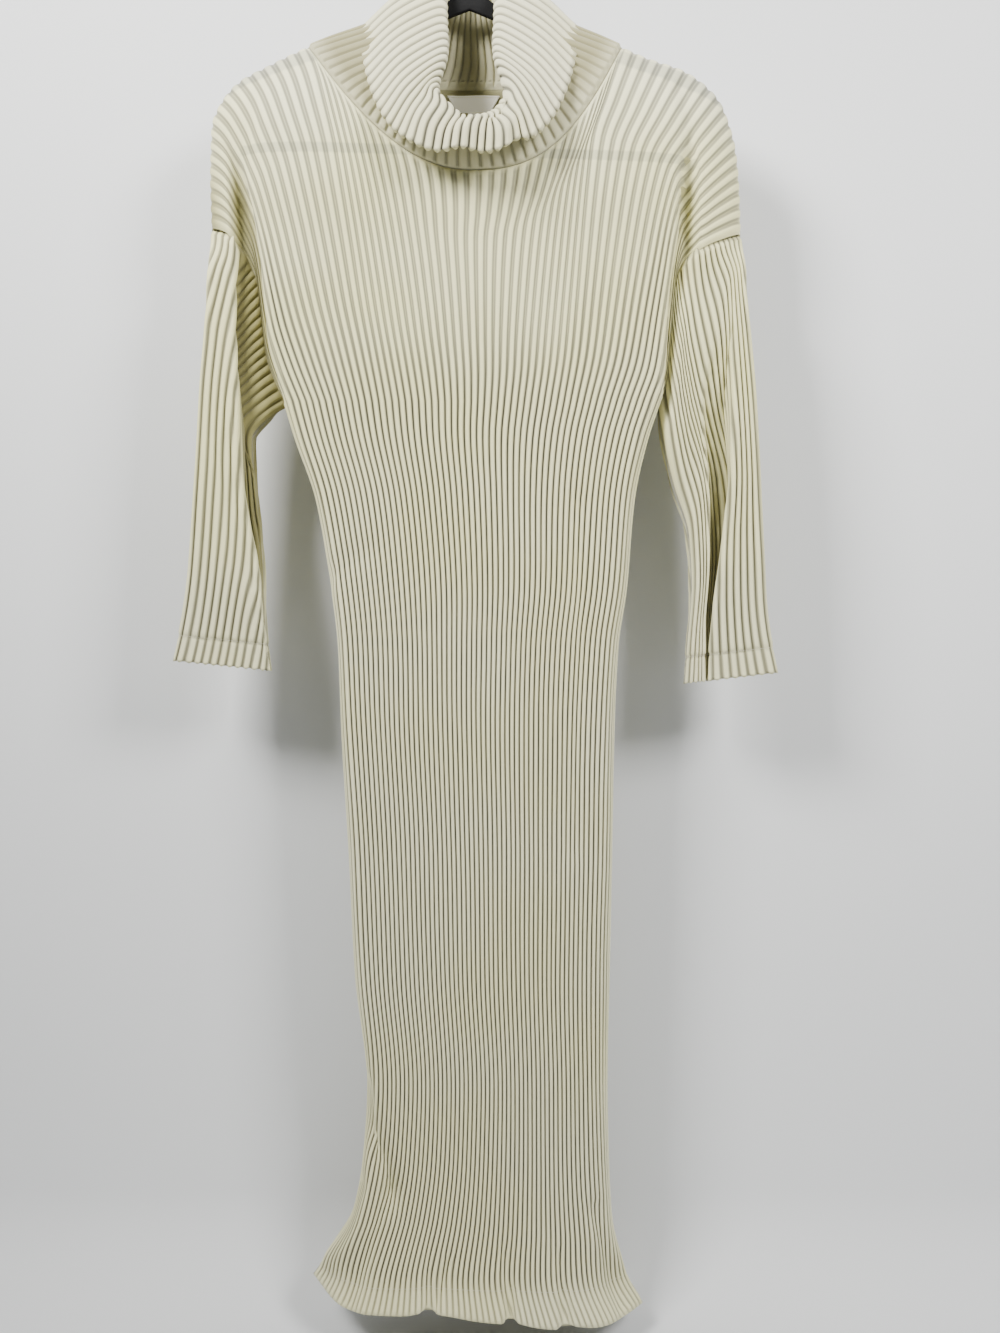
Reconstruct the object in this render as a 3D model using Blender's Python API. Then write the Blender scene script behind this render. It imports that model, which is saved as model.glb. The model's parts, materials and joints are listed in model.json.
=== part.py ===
"""A ribbed sweater dress with three-quarter sleeves and a folded-over collar, on a slim hanger.

The tables give sizes in millimetres. X runs to the right as the front is seen, -Y is the front and
Z is up. The origin is the inside top of the hook, where a rail holds the hanger. Each cloth piece
is a wall: a plain inner side, an outer side raised into ribs, and rims that face the next piece
across the seam gap.
"""

import math

import bmesh
import bpy
import numpy as np
from mathutils import Vector

MM = 0.001

# Driving sizes of the knit
WALL = 1.6
RIB_HEIGHT = 1.2
SEAM_GAP = 0.3
SEAM_RECESS = 1.0
NECK_GAP = 0.45
BODY_RIBS = 64
SHOULDER_RIBS = 18
SLEEVE_RIBS = 36
COLLAR_QUARTERS = (23, 23, 17, 17)
COLLAR_STRIDE = 4
EDGE_RIBS = 8
MIDDLE_STRIDE = 4
RIM_STRIDE = 2

FRONT, BACK = -1, 1
LEFT, RIGHT = -1, 1

# Close points along a line before even columns are read from it.
SAMPLES = 400


def table(columns, *rows):
    """Rows of numbers as a dict of named columns."""
    return {name: np.array(values, float) for name, values in zip(columns.split(), zip(*rows))}


# Body from the hem (first row) up to the armpit (last row): side seams and depths.
BODY = table(
    "z     left   right  front back  round_left round_right",
    (-1302, -147, 162, 43, 32, 22, 24),
    (-1268, -134, 142, 34, 27, 15, 20),
    (-1222, -108, 130.5, 27, 22, 11, 22),
    (-1100, -94, 126.5, 22, 19, 10, 22),
    (-1000, -105, 128.5, 20, 18, 10, 22),
    (-880, -111.5, 131, 20, 18, 10, 18),
    (-762, -118, 133, 22, 19, 9, 18),
    (-690, -121, 137, 23, 20, 9, 18),
    (-640, -127, 144.5, 24, 20, 9, 17),
    (-556, -141.5, 151.7, 25, 21, 9, 14),
    (-500, -161, 164, 26, 22, 9, 11),
    (-469, -170.5, 174.5, 27, 23, 9, 9),
)

# Heights of the panels' level rows.
ROW_HEIGHTS = (-1302, -1268, -1222, -1100, -1000, -880, -762, -640, -556, -469)

# How far the hem lies above or below the first row of BODY, and its wave in depth.
HEM = table(
    "x     rise wave",
    (-147, 22, 0),
    (-114, 8, 0),
    (-54, 7, 3),
    (-36, 11, -5),
    (-22, 6, 3),
    (14, 0, 2),
    (39, 1, -4),
    (63, -5, 3),
    (88, -3, -3),
    (115, -6, 2),
    (162, -5, 0),
)
HEM_FADE = table("z share", (-1302, 1.0), (-1268, 0.55), (-1222, 0.1), (-1190, 0))

# Depth of the front and back above the armpit, at the middle of the panel.
CHEST = table(
    "z front back",
    (-469, 27, 23),
    (-400, 29, 24),
    (-330, 33, 25),
    (-263, 40, 26),
    (-134, 40, 26),
)
SHOULDER_ROUND = 110

# The front edge folds of the body above the armpit, the far side of the recess that opens behind
# each, and how deep that recess is. A share of 0 is no recess.
FOLD = table(
    "z     left    right  strip_left strip_right recess_left recess_right share",
    (-469, -170.5, 174.5, -212, 210, 0.3, 0.3, 1.0),
    (-459, -173, 178, -212, 210, 2.5, 5, 1.0),
    (-446, -177, 179.5, -212, 210, 4, 9, 1.0),
    (-404, -186.5, 181.9, -212, 209, 5, 12, 1.0),
    (-368, -189.3, 183.5, -212, 208, 6, 12, 1.0),
    (-310, -196, 192, -213, 206, 6, 11, 1.0),
    (-285, -201, 193, -213, 204, 7, 11, 0.85),
    (-250, -213, 196, -218, 203, 9, 12, 0.45),
    (-216, -230, 199, -232, 203, 12, 14, 0.0),
    (-130, -240, 203, -242, 206, 14, 14, 0.0),
)
FOLD_ROUND = 6
RECESS_SLOPE = 5

# The armhole seam, from the armpit (share 0) to the end of the dropped shoulder (share 1).
ARMHOLE = table(
    "share x_left   z_left  x_right z_right",
    (0.00, -170.5, -469, 174.5, -469),
    (0.14, -182, -446, 184, -447),
    (0.28, -190.5, -420, 186.5, -416),
    (0.42, -193.5, -395, 188, -388),
    (0.55, -196, -370, 190, -362),
    (0.68, -202, -346, 195, -343),
    (0.80, -215, -328.5, 218, -326),
    (0.90, -228, -316, 236, -317),
    (1.00, -242, -303, 253.5, -308.4),
)
ARMHOLE_DECAY = 2.6

# The wall's rim faces down at the armpit and outward at the shoulder end, over these shares.
ARMPIT_TURN, SHOULDER_TURN = 0.2, 0.15

# Shoulder lines, from the end of the dropped shoulder to the side of the neck.
SHOULDER = {
    LEFT: table(
        "x z",
        (-242, -303),
        (-243, -255),
        (-241.7, -209),
        (-229.5, -181),
        (-215.5, -164.1),
        (-187.4, -151),
        (-168.6, -141.6),
        (-151.8, -134.1),
    ),
    RIGHT: table(
        "x z",
        (253.5, -308.4),
        (252, -265),
        (248.2, -227.8),
        (234.1, -185.6),
        (215.4, -163.5),
        (196.7, -154.7),
        (168.6, -145.3),
        (142.3, -134.1),
    ),
}
NECK_LEFT, NECK_RIGHT, NECK_SIDE = -151.8, 142.3, -134.1
NECK_BOTTOM = {FRONT: -263.0, BACK: -164.0}
NECK_CURVE = {(FRONT, LEFT): 2.0, (FRONT, RIGHT): 2.8, (BACK, LEFT): 2.6, (BACK, RIGHT): 2.6}

# Rows of the panels above the armpit, as shares of the way to the top edge.
UPPER_SHARES = (0.28, 0.55, 0.8, 0.975, 1.0)

# How much the fall of the neckline counts when its ribs are spaced, against its run to the side.
NECK_LEAN = 0.45

# Places inside the outline in the front view, from which its edges face outward.
SKIRT_MIDDLE, CHEST_MIDDLE, NECK_MIDDLE = -900, -300, -600

# Sleeves, from the armhole to the cuff: outer and inner edge lines, then depths from the cuff up.
SLEEVE_OUTER = {
    LEFT: table(
        "x z",
        (-242, -303),
        (-241.7, -354),
        (-247.3, -452),
        (-252, -537),
        (-258.6, -621),
        (-268, -677),
        (-275, -706),
    ),
    RIGHT: table(
        "x z",
        (253.5, -308.4),
        (254.7, -354),
        (264.1, -452),
        (268.8, -565),
        (273.5, -649),
        (277.2, -677),
        (286, -717),
    ),
}
SLEEVE_INNER = {
    LEFT: table(
        "x z",
        (-170.5, -469),
        (-187, -477),
        (-206, -496),
        (-205, -530),
        (-195, -612),
        (-193, -677),
        (-186, -715),
    ),
    RIGHT: table(
        "x z",
        (174.5, -469),
        (183, -509),
        (194, -545),
        (206, -580),
        (210, -649),
        (205, -690),
        (200, -727),
    ),
}
SLEEVE_DEPTH = table(
    "z    front back",
    (-720, 14, 16),
    (-680, 18, 18),
    (-620, 26, 25),
    (-540, 28, 27),
    (-450, 25, 25),
    (-370, 20, 20),
    (-303, 16, 16),
)
SLEEVE_ROUND = 12
SLEEVE_SHARES = (0.14, 0.32, 0.5, 0.68, 0.86, 1.0)

# The recess beside the body runs on into the sleeve and ends between these heights.
RECESS_END, RECESS_START = -500, -480

# The long pleat down the front of the right sleeve.
PLEAT = table(
    "z    middle depth width",
    (-720, 213, 6, 8),
    (-640, 219, 12, 9),
    (-560, 224, 12, 9),
    (-480, 232, 8, 8),
    (-450, 233, 0, 8),
)

# Collar rings, from the base just above the neck seam, over the fold, to the free edge.
COLLAR = table(
    "left  right x_front y_side y_front y_back z_side z_front z_back square drop",
    (-128, 121, 0, 0, -54, 27, -124, -251, -138, 0.95, 1.8),
    (-92, 90, 0, -2, -61, 30, -111.5, -240, -105, 0.9, 1.5),
    (-48, 47, 2, -4, -62, 31, -91, -230, -72, 0.8, 1.2),
    (-24, 26, 5, -5, -67, 33, -74, -223, -50, 0.6, 1.0),
    (-32, 33, 5, -5, -74, 40, -67, -229, -47, 0.6, 1.0),
    (-68, 67, 2, -4, -79, 45, -86, -243, -84, 0.6, 1.1),
    (-99.5, 99.5, 0, -2, -78, 43, -114, -261, -124, 0.6, 1.15),
)
FOLD_RING = 4

# Label and size tab, sewn in at the back of the neck.
LABEL = {"middle": 3.0, "top": -169.0, "height": 16.0, "top_width": 50.0, "foot_width": 32.0}
SIZE_TAB = {"middle": 7.0, "top": -185.5, "height": 11.0, "top_width": 19.0, "foot_width": 18.0}
LABEL_WALL, LABEL_CLEAR = 1.0, 0.5

# Hanger: its arms fall evenly and droop near the ends, and its middle rises for the hook.
HANGER_THICK = 5.0
HANGER_TILT = math.radians(1.0)
HANGER_TOP, HANGER_SLOPE, HANGER_DROOP, HANGER_HALF = -82.5, 0.392, 13.0, 222.0
CROWN_HEIGHT, CROWN_REACH = 9.0, 13.0
END_REACH, END_TURN, END_STEPS = 11.0, 60.0, 5
ARM_DEPTH, ARM_STEPS, HOLE_STEPS = 14.5, 19, 13
BAR_HEIGHT, BAR_TOP = 7.0, -226.0
HOLE_CORNER = {"out": 3.0, "in": 4.0, "up": 6.0}

# Hook: a straight neck, then a loop that turns over the rail.
HOOK_WIRE, HOOK_RADIUS = 1.7, 18.5
HOOK_NECK = table("x z", (0, -58), (1.2, -50), (4.2, -41.5))
HOOK_START, HOOK_END, HOOK_STEPS = -62, 205, 22

# Colour, roughness and metal of each piece.
FINISHES = {
    "front": ((0.84, 0.81, 0.68), 0.85, 0.0),
    "back": ((0.83, 0.80, 0.67), 0.85, 0.0),
    "sleeve_left": ((0.84, 0.81, 0.69), 0.85, 0.0),
    "sleeve_right": ((0.84, 0.81, 0.69), 0.85, 0.0),
    "collar": ((0.86, 0.83, 0.71), 0.85, 0.0),
    "label": ((0.86, 0.83, 0.72), 0.6, 0.0),
    "size_tab": ((0.85, 0.82, 0.70), 0.6, 0.0),
    "hanger": ((0.012, 0.012, 0.013), 0.9, 0.0),
    "hook": ((0.6, 0.6, 0.6), 0.25, 1.0),
}


def between(columns, name, at, key="z"):
    """A column of a table, read at any height."""
    return np.interp(at, columns[key], columns[name])


def rounded(reach):
    """A quarter-round rise from 0 to 1 over a reach of 0 to 1."""
    return (1 - (1 - np.clip(reach, 0, 1)) ** 2.2) ** (1 / 2.2)


def smooth(start, end, value):
    """A soft step from 0 at start to 1 at end."""
    share = np.clip((value - start) / (end - start), 0, 1)
    return share * share * (3 - 2 * share)


def unit(vectors):
    """The same directions at length 1."""
    return vectors / np.maximum(np.linalg.norm(vectors, axis=-1, keepdims=True), 1e-9)


def lengths(points):
    """The running length along a line of points."""
    return np.concatenate(([0], np.cumsum(np.linalg.norm(np.diff(points, axis=0), axis=1))))


def spread(points, count):
    """Points at equal steps along a line of points."""
    run = lengths(points)
    steps = np.linspace(0, run[-1], count)
    return np.stack([np.interp(steps, run, axis) for axis in points.T], axis=1)


def corners(line):
    """The points of a table of places in the front view."""
    return np.column_stack([line["x"], line["z"]])


def line_distance(x, z, line):
    """The distance from points in the front view to a line of points."""
    points = np.stack([x, z], axis=-1)
    best = np.full(np.shape(x), np.inf)
    for start, end in zip(line, line[1:]):
        run = end - start
        share = np.clip((points - start) @ run / (run @ run), 0, 1)
        best = np.minimum(best, np.linalg.norm(points - start - share[..., None] * run, axis=-1))
    return best


TOP_OUTLINE = np.concatenate([corners(SHOULDER[LEFT]), corners(SHOULDER[RIGHT])[::-1]])


def body_depth(x, z, face):
    """How far the front or back panel stands from the seam plane at a place in the front view."""
    name = "front" if face == FRONT else "back"
    lower = z < BODY["z"][-1]
    chest = between(CHEST, name, z) * rounded_top(line_distance(x, z, TOP_OUTLINE))
    full = np.where(lower, between(BODY, name, z), chest)
    left = np.where(lower, between(BODY, "left", z), between(FOLD, "left", z))
    right = np.where(lower, between(BODY, "right", z), between(FOLD, "right", z))
    round_left = np.where(lower, between(BODY, "round_left", z), FOLD_ROUND)
    round_right = np.where(lower, between(BODY, "round_right", z), FOLD_ROUND)
    inside = rounded((x - left) / round_left) * rounded((right - x) / round_right)
    recess = np.where(x < 0, between(FOLD, "recess_left", z), between(FOLD, "recess_right", z))
    floor = np.minimum(np.where(lower, 0, recess), full)
    strip_left = smooth(-RECESS_SLOPE, RECESS_SLOPE, x - between(FOLD, "strip_left", z))
    strip_right = smooth(-RECESS_SLOPE, RECESS_SLOPE, between(FOLD, "strip_right", z) - x)
    share = np.where(lower, 1, between(FOLD, "share", z) * strip_left * strip_right)
    return np.maximum(full - (full - floor) * share * (1 - inside), SEAM_GAP / 2)


def rounded_top(distance):
    """The fall of the cloth from the shoulder line, quick at first and then slow."""
    share = np.clip(distance / SHOULDER_ROUND, 0, 1)
    return np.sqrt(1 - (1 - share) ** 2)


def hem_shift(x, z):
    """The lift and the depth wave of the hem, fading out above it."""
    fade = np.interp(z, HEM_FADE["z"], HEM_FADE["share"])
    return fade * np.interp(x, HEM["x"], HEM["rise"]), fade * np.interp(x, HEM["x"], HEM["wave"])


def lower_row(z, face):
    """One level row of a body panel, from the left side seam to the right one, as close points."""
    share = np.linspace(0, 1, SAMPLES)
    left, right = between(BODY, "left", z), between(BODY, "right", z)
    x = left + (right - left) * share
    rise, wave = hem_shift(x, z)
    depth = body_depth(x, np.full_like(x, z), face)
    depth = np.maximum(depth + wave * rounded(depth / depth.max()), SEAM_GAP / 2)
    return np.stack([x, face * depth, z + rise], axis=1)


def neck_line(face):
    """The neckline in the front view, from the left side of the neck to the right one."""
    x = NECK_LEFT + (NECK_RIGHT - NECK_LEFT) * (1 - np.cos(np.linspace(0, math.pi, SAMPLES))) / 2
    share = np.where(x < 0, x / NECK_LEFT, x / NECK_RIGHT)
    power = np.where(x < 0, NECK_CURVE[face, LEFT], NECK_CURVE[face, RIGHT])
    z = NECK_BOTTOM[face] + (NECK_SIDE - NECK_BOTTOM[face]) * share**power
    return np.stack([x, z], axis=1)


def top_edge(face):
    """The top edge in the front view: shoulder, neckline, shoulder, at one point for each column."""
    side = 2 * SHOULDER_RIBS + 1
    middle = 2 * (BODY_RIBS - 2 * SHOULDER_RIBS) + 1
    left = spread(corners(SHOULDER[LEFT]), side)
    right = spread(corners(SHOULDER[RIGHT])[::-1], side)
    neck = neck_line(face)
    neck = spread(neck * (1, NECK_LEAN), middle) / (1, NECK_LEAN)
    return np.concatenate([left[:-1], neck, right[1:]])


def armhole(side, shares):
    """Points of the armhole seam in the front view."""
    name = "_left" if side == LEFT else "_right"
    return np.stack([between(ARMHOLE, axis + name, shares, "share") for axis in "xz"], axis=-1)


def body_rows(face):
    """A body panel as rows of points from the hem up to the shoulders and the neckline."""
    count = 2 * BODY_RIBS + 1
    rows = [spread(lower_row(z, face), count) for z in ROW_HEIGHTS]
    armpit, top = rows[-1][:, [0, 2]], top_edge(face)
    across = np.linspace(0, 1, count)[:, None]
    for share in UPPER_SHARES:
        flat = (1 - share) * armpit + share * top
        for side, weight in ((LEFT, 1 - across), (RIGHT, across)):
            start, here, end = armhole(side, np.array([0, share, 1]))
            flat = flat + weight**ARMHOLE_DECAY * (here - (1 - share) * start - share * end)
        depth = body_depth(flat[:, 0], flat[:, 1], face)
        if share == 1:
            depth[: 2 * SHOULDER_RIBS + 1] = SEAM_GAP / 2
            depth[-2 * SHOULDER_RIBS - 1 :] = SEAM_GAP / 2
        rows.append(np.stack([flat[:, 0], face * depth, flat[:, 1]], axis=1))
    return np.array(rows)


def surface_normals(rows, closed=False):
    """Normals of a grid of points, rows by columns."""
    if closed:
        along = np.roll(rows, -1, axis=1) - np.roll(rows, 1, axis=1)
    else:
        along = np.gradient(rows, axis=1)
    up = np.gradient(rows, axis=0)
    return unit(np.cross(along, up))


def flat_outward(line, middle):
    """Outward directions in the front view of a line of points, away from a height on the middle."""
    step = np.gradient(line, axis=0)
    out = np.stack([step[:, 2], np.zeros(len(step)), -step[:, 0]], axis=1)
    out *= np.sign(np.sum(out * (line - (0, 0, middle)), axis=1, keepdims=True))
    return unit(out)


def along_seam(directions, normals):
    """Directions with their part along other directions taken out."""
    return unit(directions - np.sum(directions * normals, axis=1, keepdims=True) * normals)


def armhole_normals(side, face, shares):
    """Wall directions along the armhole seam: down at the armpit, outward at the shoulder end."""
    low = np.clip(1 - shares / ARMPIT_TURN, 0, 1)[:, None]
    high = np.clip(1 - (1 - shares) / SHOULDER_TURN, 0, 1)[:, None]
    down, out, forward = np.array([0, 0, -1]), np.array([side, 0, 0]), np.array([0, face, 0])
    return unit(low * down + high * out + (1 - low - high) * forward)


def zip_rows(faces, first, second):
    """Triangles between two rows of (place, vertex) pairs that may hold different numbers of points."""
    i = j = 0
    while i < len(first) - 1 or j < len(second) - 1:
        step_first = j == len(second) - 1 or (i < len(first) - 1 and first[i + 1][0] <= second[j + 1][0])
        if step_first:
            faces.append((first[i][1], first[i + 1][1], second[j][1]))
            i += 1
        else:
            faces.append((first[i][1], second[j + 1][1], second[j][1]))
            j += 1


class Shell:
    """A closed wall built from an outer and an inner grid of points and the rims between them."""

    def __init__(self):
        self.points = []
        self.faces = []

    def row(self, points, columns, closed=False):
        """Adds the chosen columns of one row, as (place, vertex) pairs."""
        pairs = []
        for column in columns:
            pairs.append((column, len(self.points)))
            self.points.append(points[column])
        if closed:
            pairs.append((len(points), pairs[0][1]))
        return pairs

    def side(self, rows, outward):
        """The faces between neighbouring rows."""
        for lower, upper in zip(rows, rows[1:]):
            pair = (lower, upper) if outward else (upper, lower)
            zip_rows(self.faces, *pair)

    def walls(self, outside, inside):
        """The outer side, the inner side and the rims along their first and last rows."""
        self.side(outside, True)
        self.side(inside, False)
        zip_rows(self.faces, inside[0], outside[0])
        zip_rows(self.faces, outside[-1], inside[-1])

    def ends(self, outside, inside):
        """The rims that close an open wall at its first and last columns."""
        for end in (0, -1):
            outer = [(place, row[end][1]) for place, row in enumerate(outside)]
            inner = [(place, row[end][1]) for place, row in enumerate(inside)]
            zip_rows(self.faces, *((outer, inner) if end == 0 else (inner, outer)))

    def build(self, name):
        """The finished piece."""
        mesh = bpy.data.meshes.new(name)
        mesh.from_pydata([Vector(point) * MM for point in self.points], [], self.faces)
        model = bmesh.new()
        model.from_mesh(mesh)
        bmesh.ops.recalc_face_normals(model, faces=model.faces)
        model.to_mesh(mesh)
        model.free()
        add_object(name, mesh)


def add_object(name, data):
    """Links a piece to the scene and gives it its own material."""
    piece = bpy.data.objects.new(name, data)
    bpy.context.scene.collection.objects.link(piece)
    colour, roughness, metallic = FINISHES[name]
    material = bpy.data.materials.new(name)
    material.use_nodes = True
    shader = material.node_tree.nodes["Principled BSDF"]
    shader.inputs["Base Color"].default_value = (*colour, 1)
    shader.inputs["Roughness"].default_value = roughness
    shader.inputs["Metallic"].default_value = metallic
    data.materials.append(material)


def crests(columns):
    """The rise of the rib at each column: a groove, then a crest."""
    return RIB_HEIGHT * (np.arange(columns) % 2)[:, None]


def plain_columns(ribs):
    """The columns that the plain inner side keeps: every rib near the sides, fewer in the middle."""
    near = list(range(0, 2 * EDGE_RIBS, 2))
    middle = list(range(2 * EDGE_RIBS, 2 * (ribs - EDGE_RIBS), 2 * MIDDLE_STRIDE))
    far = list(range(2 * (ribs - EDGE_RIBS), 2 * ribs + 1, 2))
    return near + middle + far


def seam_rows():
    """The shares of the rows that end at the armhole."""
    return np.array((0,) + UPPER_SHARES)


def body_panel(name, face):
    """The front or back panel. Returns its rows from the armpit up, for the sleeves to join."""
    rows = body_rows(face)
    normals = surface_normals(rows)
    normals *= np.where(normals[..., 1:2] * face < 0, -1, 1)
    armpit = len(ROW_HEIGHTS) - 1
    inward = np.zeros_like(rows)
    for side, column in ((LEFT, 0), (RIGHT, -1)):
        edge = rows[:, column]
        normals[: armpit + 1, column] = flat_outward(edge[: armpit + 1], SKIRT_MIDDLE)
        normals[armpit:, column] = armhole_normals(side, face, seam_rows())
        inward[armpit:, column] = -flat_outward(edge[armpit:], CHEST_MIDDLE)
        inward[-1, column] = (0, 0, 1)
        inward[armpit, column] = (-side, 0, 0)
    shoulder = 2 * SHOULDER_RIBS + 1
    top_out = flat_outward(rows[-1], NECK_MIDDLE)
    normals[-1, :shoulder] = top_out[:shoulder]
    normals[-1, -shoulder:] = top_out[-shoulder:]
    neck = slice(shoulder, -shoulder)
    inward[-1, neck] = -top_out[neck]
    normals[-1, neck] = along_seam(normals[-1, neck], top_out[neck])
    outer = rows + inward * SEAM_GAP / 2 + normals * crests(rows.shape[1])
    inner = rows - normals * WALL + inward * SEAM_RECESS
    for part in (outer, inner):
        part[..., 1] = face * np.maximum(face * part[..., 1], SEAM_GAP / 2)

    shell = Shell()
    plain = plain_columns(BODY_RIBS)
    outside = [shell.row(row, range(rows.shape[1])) for row in outer]
    inside = [shell.row(row, plain) for row in inner[:-1]]
    inside.append(shell.row(inner[-1], range(0, rows.shape[1], RIM_STRIDE)))
    shell.walls(outside, inside)
    shell.ends(outside, inside)
    shell.build(name)
    return rows[armpit:]


def sleeve_depth(x, z, side, face):
    """How far the sleeve's front or back stands from its edge plane."""
    outer = rounded(line_distance(x, z, corners(SLEEVE_OUTER[side])) / SLEEVE_ROUND)
    inner = rounded(line_distance(x, z, corners(SLEEVE_INNER[side])) / SLEEVE_ROUND)
    depth = between(SLEEVE_DEPTH, "front" if face == FRONT else "back", z) * outer * inner
    if face == FRONT:
        name = "_left" if side == LEFT else "_right"
        beside = smooth(-RECESS_SLOPE, RECESS_SLOPE, side * (between(FOLD, "strip" + name, z) - x))
        behind = beside * smooth(RECESS_END, RECESS_START, z)
        depth = depth + (np.minimum(between(FOLD, "recess" + name, z), depth) - depth) * behind
        if side == RIGHT:
            offset = (x - between(PLEAT, "middle", z)) / between(PLEAT, "width", z)
            depth = depth - between(PLEAT, "depth", z) * np.exp(-offset * offset)
    return np.maximum(depth, 0)


def edge_at(line, share):
    """A point a share of the way along a line in the front view."""
    run = lengths(line)
    return np.array([np.interp(share * run[-1], run, axis) for axis in line.T])


def sleeve_loop(side, share, seams):
    """One closed loop of a sleeve: from the outer edge over the front, the inner edge, the back."""
    fine = np.linspace(0, 1, SAMPLES)
    halves = []
    for face, seam in zip((FRONT, BACK), seams):
        places = np.linspace(0, 1, len(seam))
        flat = (1 - share) * np.stack([np.interp(fine, places, axis) for axis in seam[:, [0, 2]].T], axis=1)
        for edges, weight, start in ((SLEEVE_OUTER, 1 - fine, seam[0]), (SLEEVE_INNER, fine, seam[-1])):
            line = corners(edges[side])
            cuff = line[-1]
            bend = edge_at(line, share) - (1 - share) * start[[0, 2]] - share * cuff
            flat = flat + share * weight[:, None] * cuff + weight[:, None] ** 2 * bend
        depth = sleeve_depth(flat[:, 0], flat[:, 1], side, face)
        line = np.stack([flat[:, 0], face * depth, flat[:, 1]], axis=1)
        halves.append(spread(line, SLEEVE_RIBS + 1))
    return ring(*halves)


def ring(front, back):
    """A closed ring from two lines that run from the same start to the same end."""
    return np.concatenate([front[:-1], back[::-1][:-1]])


def seam_samples(edge, count):
    """Places along a seam, with its own corner points kept, counted in corner points."""
    run = lengths(edge)
    steps = np.linspace(0, run[-1], count)
    for corner in run[1:-1]:
        steps[np.argmin(np.abs(steps - corner))] = corner
    return np.interp(steps, run, np.arange(len(edge)))


def read_at(values, places):
    """Values read between the entries of a list."""
    return np.stack([np.interp(places, np.arange(len(values)), axis) for axis in values.T], axis=1)


def sleeve(name, side, panels):
    """A sleeve set into the armhole that both body panels leave."""
    seams, walls, outs = [], [], []
    for face in (FRONT, BACK):
        edge = panels[face][::-1, 0 if side == LEFT else -1]
        places = seam_samples(edge, SLEEVE_RIBS + 1)
        out = flat_outward(edge, CHEST_MIDDLE)
        out[0], out[-1] = (0, 0, -1), (side, 0, 0)
        seams.append(read_at(edge, places))
        walls.append(unit(read_at(armhole_normals(side, face, seam_rows())[::-1], places)))
        outs.append(unit(read_at(out, places)))
    seam = ring(*seams)
    seam[[0, SLEEVE_RIBS], 1] = 0
    loops = np.array([seam] + [sleeve_loop(side, share, seams) for share in SLEEVE_SHARES])
    normals = surface_normals(loops, closed=True) * side
    middle = len(loops) // 2
    if np.sum(normals[middle] * (loops[middle] - loops[middle].mean(axis=0))) < 0:
        normals = -normals
    normals[0] = ring(*walls)
    outer = loops + normals * crests(2 * SLEEVE_RIBS)
    inner = loops - normals * WALL
    outer[0] += ring(*outs) * SEAM_GAP / 2
    inner[0] += ring(*outs) * SEAM_RECESS

    shell = Shell()
    outside = [shell.row(row, range(2 * SLEEVE_RIBS), closed=True) for row in outer]
    inside = [shell.row(row, range(0, 2 * SLEEVE_RIBS, 2), closed=True) for row in inner]
    shell.walls(outside, inside)
    shell.build(name)


def quarter(side_point, end_point, square, drop, count):
    """A quarter of a collar ring, from its side to its front or back, with even steps."""
    angle = np.linspace(0, math.pi / 2, SAMPLES)
    x = end_point[0] + (side_point[0] - end_point[0]) * np.cos(angle) ** square
    y = side_point[1] + (end_point[1] - side_point[1]) * np.sin(angle)
    z = side_point[2] + (end_point[2] - side_point[2]) * np.sin(angle) ** drop
    return spread(np.stack([x, y, z], axis=1), count)


def collar_ring(row):
    """One ring: left side, front, right side, back, at two columns a rib."""
    value = {name: column[row] for name, column in COLLAR.items()}
    left = (value["left"], value["y_side"], value["z_side"])
    right = (value["right"], value["y_side"], value["z_side"])
    front = (value["x_front"], value["y_front"], value["z_front"])
    back = (0, value["y_back"], value["z_back"])
    arcs = []
    ends = ((left, front), (right, front), (right, back), (left, back))
    for (start, end), ribs in zip(ends, COLLAR_QUARTERS):
        arcs.append(quarter(start, end, value["square"], value["drop"], 2 * ribs + 1))
    return np.concatenate([arcs[0][:-1], arcs[1][::-1][:-1], arcs[2][:-1], arcs[3][::-1][:-1]])


def neck_ring():
    """The neck seam as a closed ring that matches the collar's columns, and its direction upward."""
    halves, ups = [], []
    for face, ribs in ((FRONT, sum(COLLAR_QUARTERS[:2])), (BACK, sum(COLLAR_QUARTERS[2:]))):
        flat = neck_line(face)
        depth = body_depth(flat[:, 0], flat[:, 1], face)
        depth[[0, -1]] = 0
        points = spread(np.stack([flat[:, 0], face * depth, flat[:, 1]], axis=1), 2 * ribs + 1)
        halves.append(points)
        ups.append(flat_outward(points, NECK_MIDDLE))
    return ring(*halves), ring(*ups)


def collar(name):
    """The collar: its base rises from the neck seam, turns over at the fold and hangs outside."""
    seam, up = neck_ring()
    rings = np.array([seam] + [collar_ring(row) for row in range(len(COLLAR["left"]))])
    normals = surface_normals(rings, closed=True)
    front_column = 2 * COLLAR_QUARTERS[0]
    if normals[1, front_column, 1] > 0:
        normals = -normals
    normals[0] = along_seam(normals[0], up)
    columns = rings.shape[1]
    base = (np.arange(len(rings)) < FOLD_RING)[:, None, None]
    outer = rings + normals * np.where(base, crests(columns), 0)
    inner = rings - normals * (WALL + np.where(base, 0, crests(columns)))
    outer[0] += up * NECK_GAP
    inner[0] += up * SEAM_RECESS

    shell = Shell()
    ribbed, plain = range(columns), range(0, columns, COLLAR_STRIDE)
    outside, inside = [], []
    for row in range(len(rings)):
        below = row < FOLD_RING
        outside.append(shell.row(outer[row], ribbed if below else plain, closed=True))
        inside.append(shell.row(inner[row], plain if below else ribbed, closed=True))
    shell.walls(outside, inside)
    shell.build(name)


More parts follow.
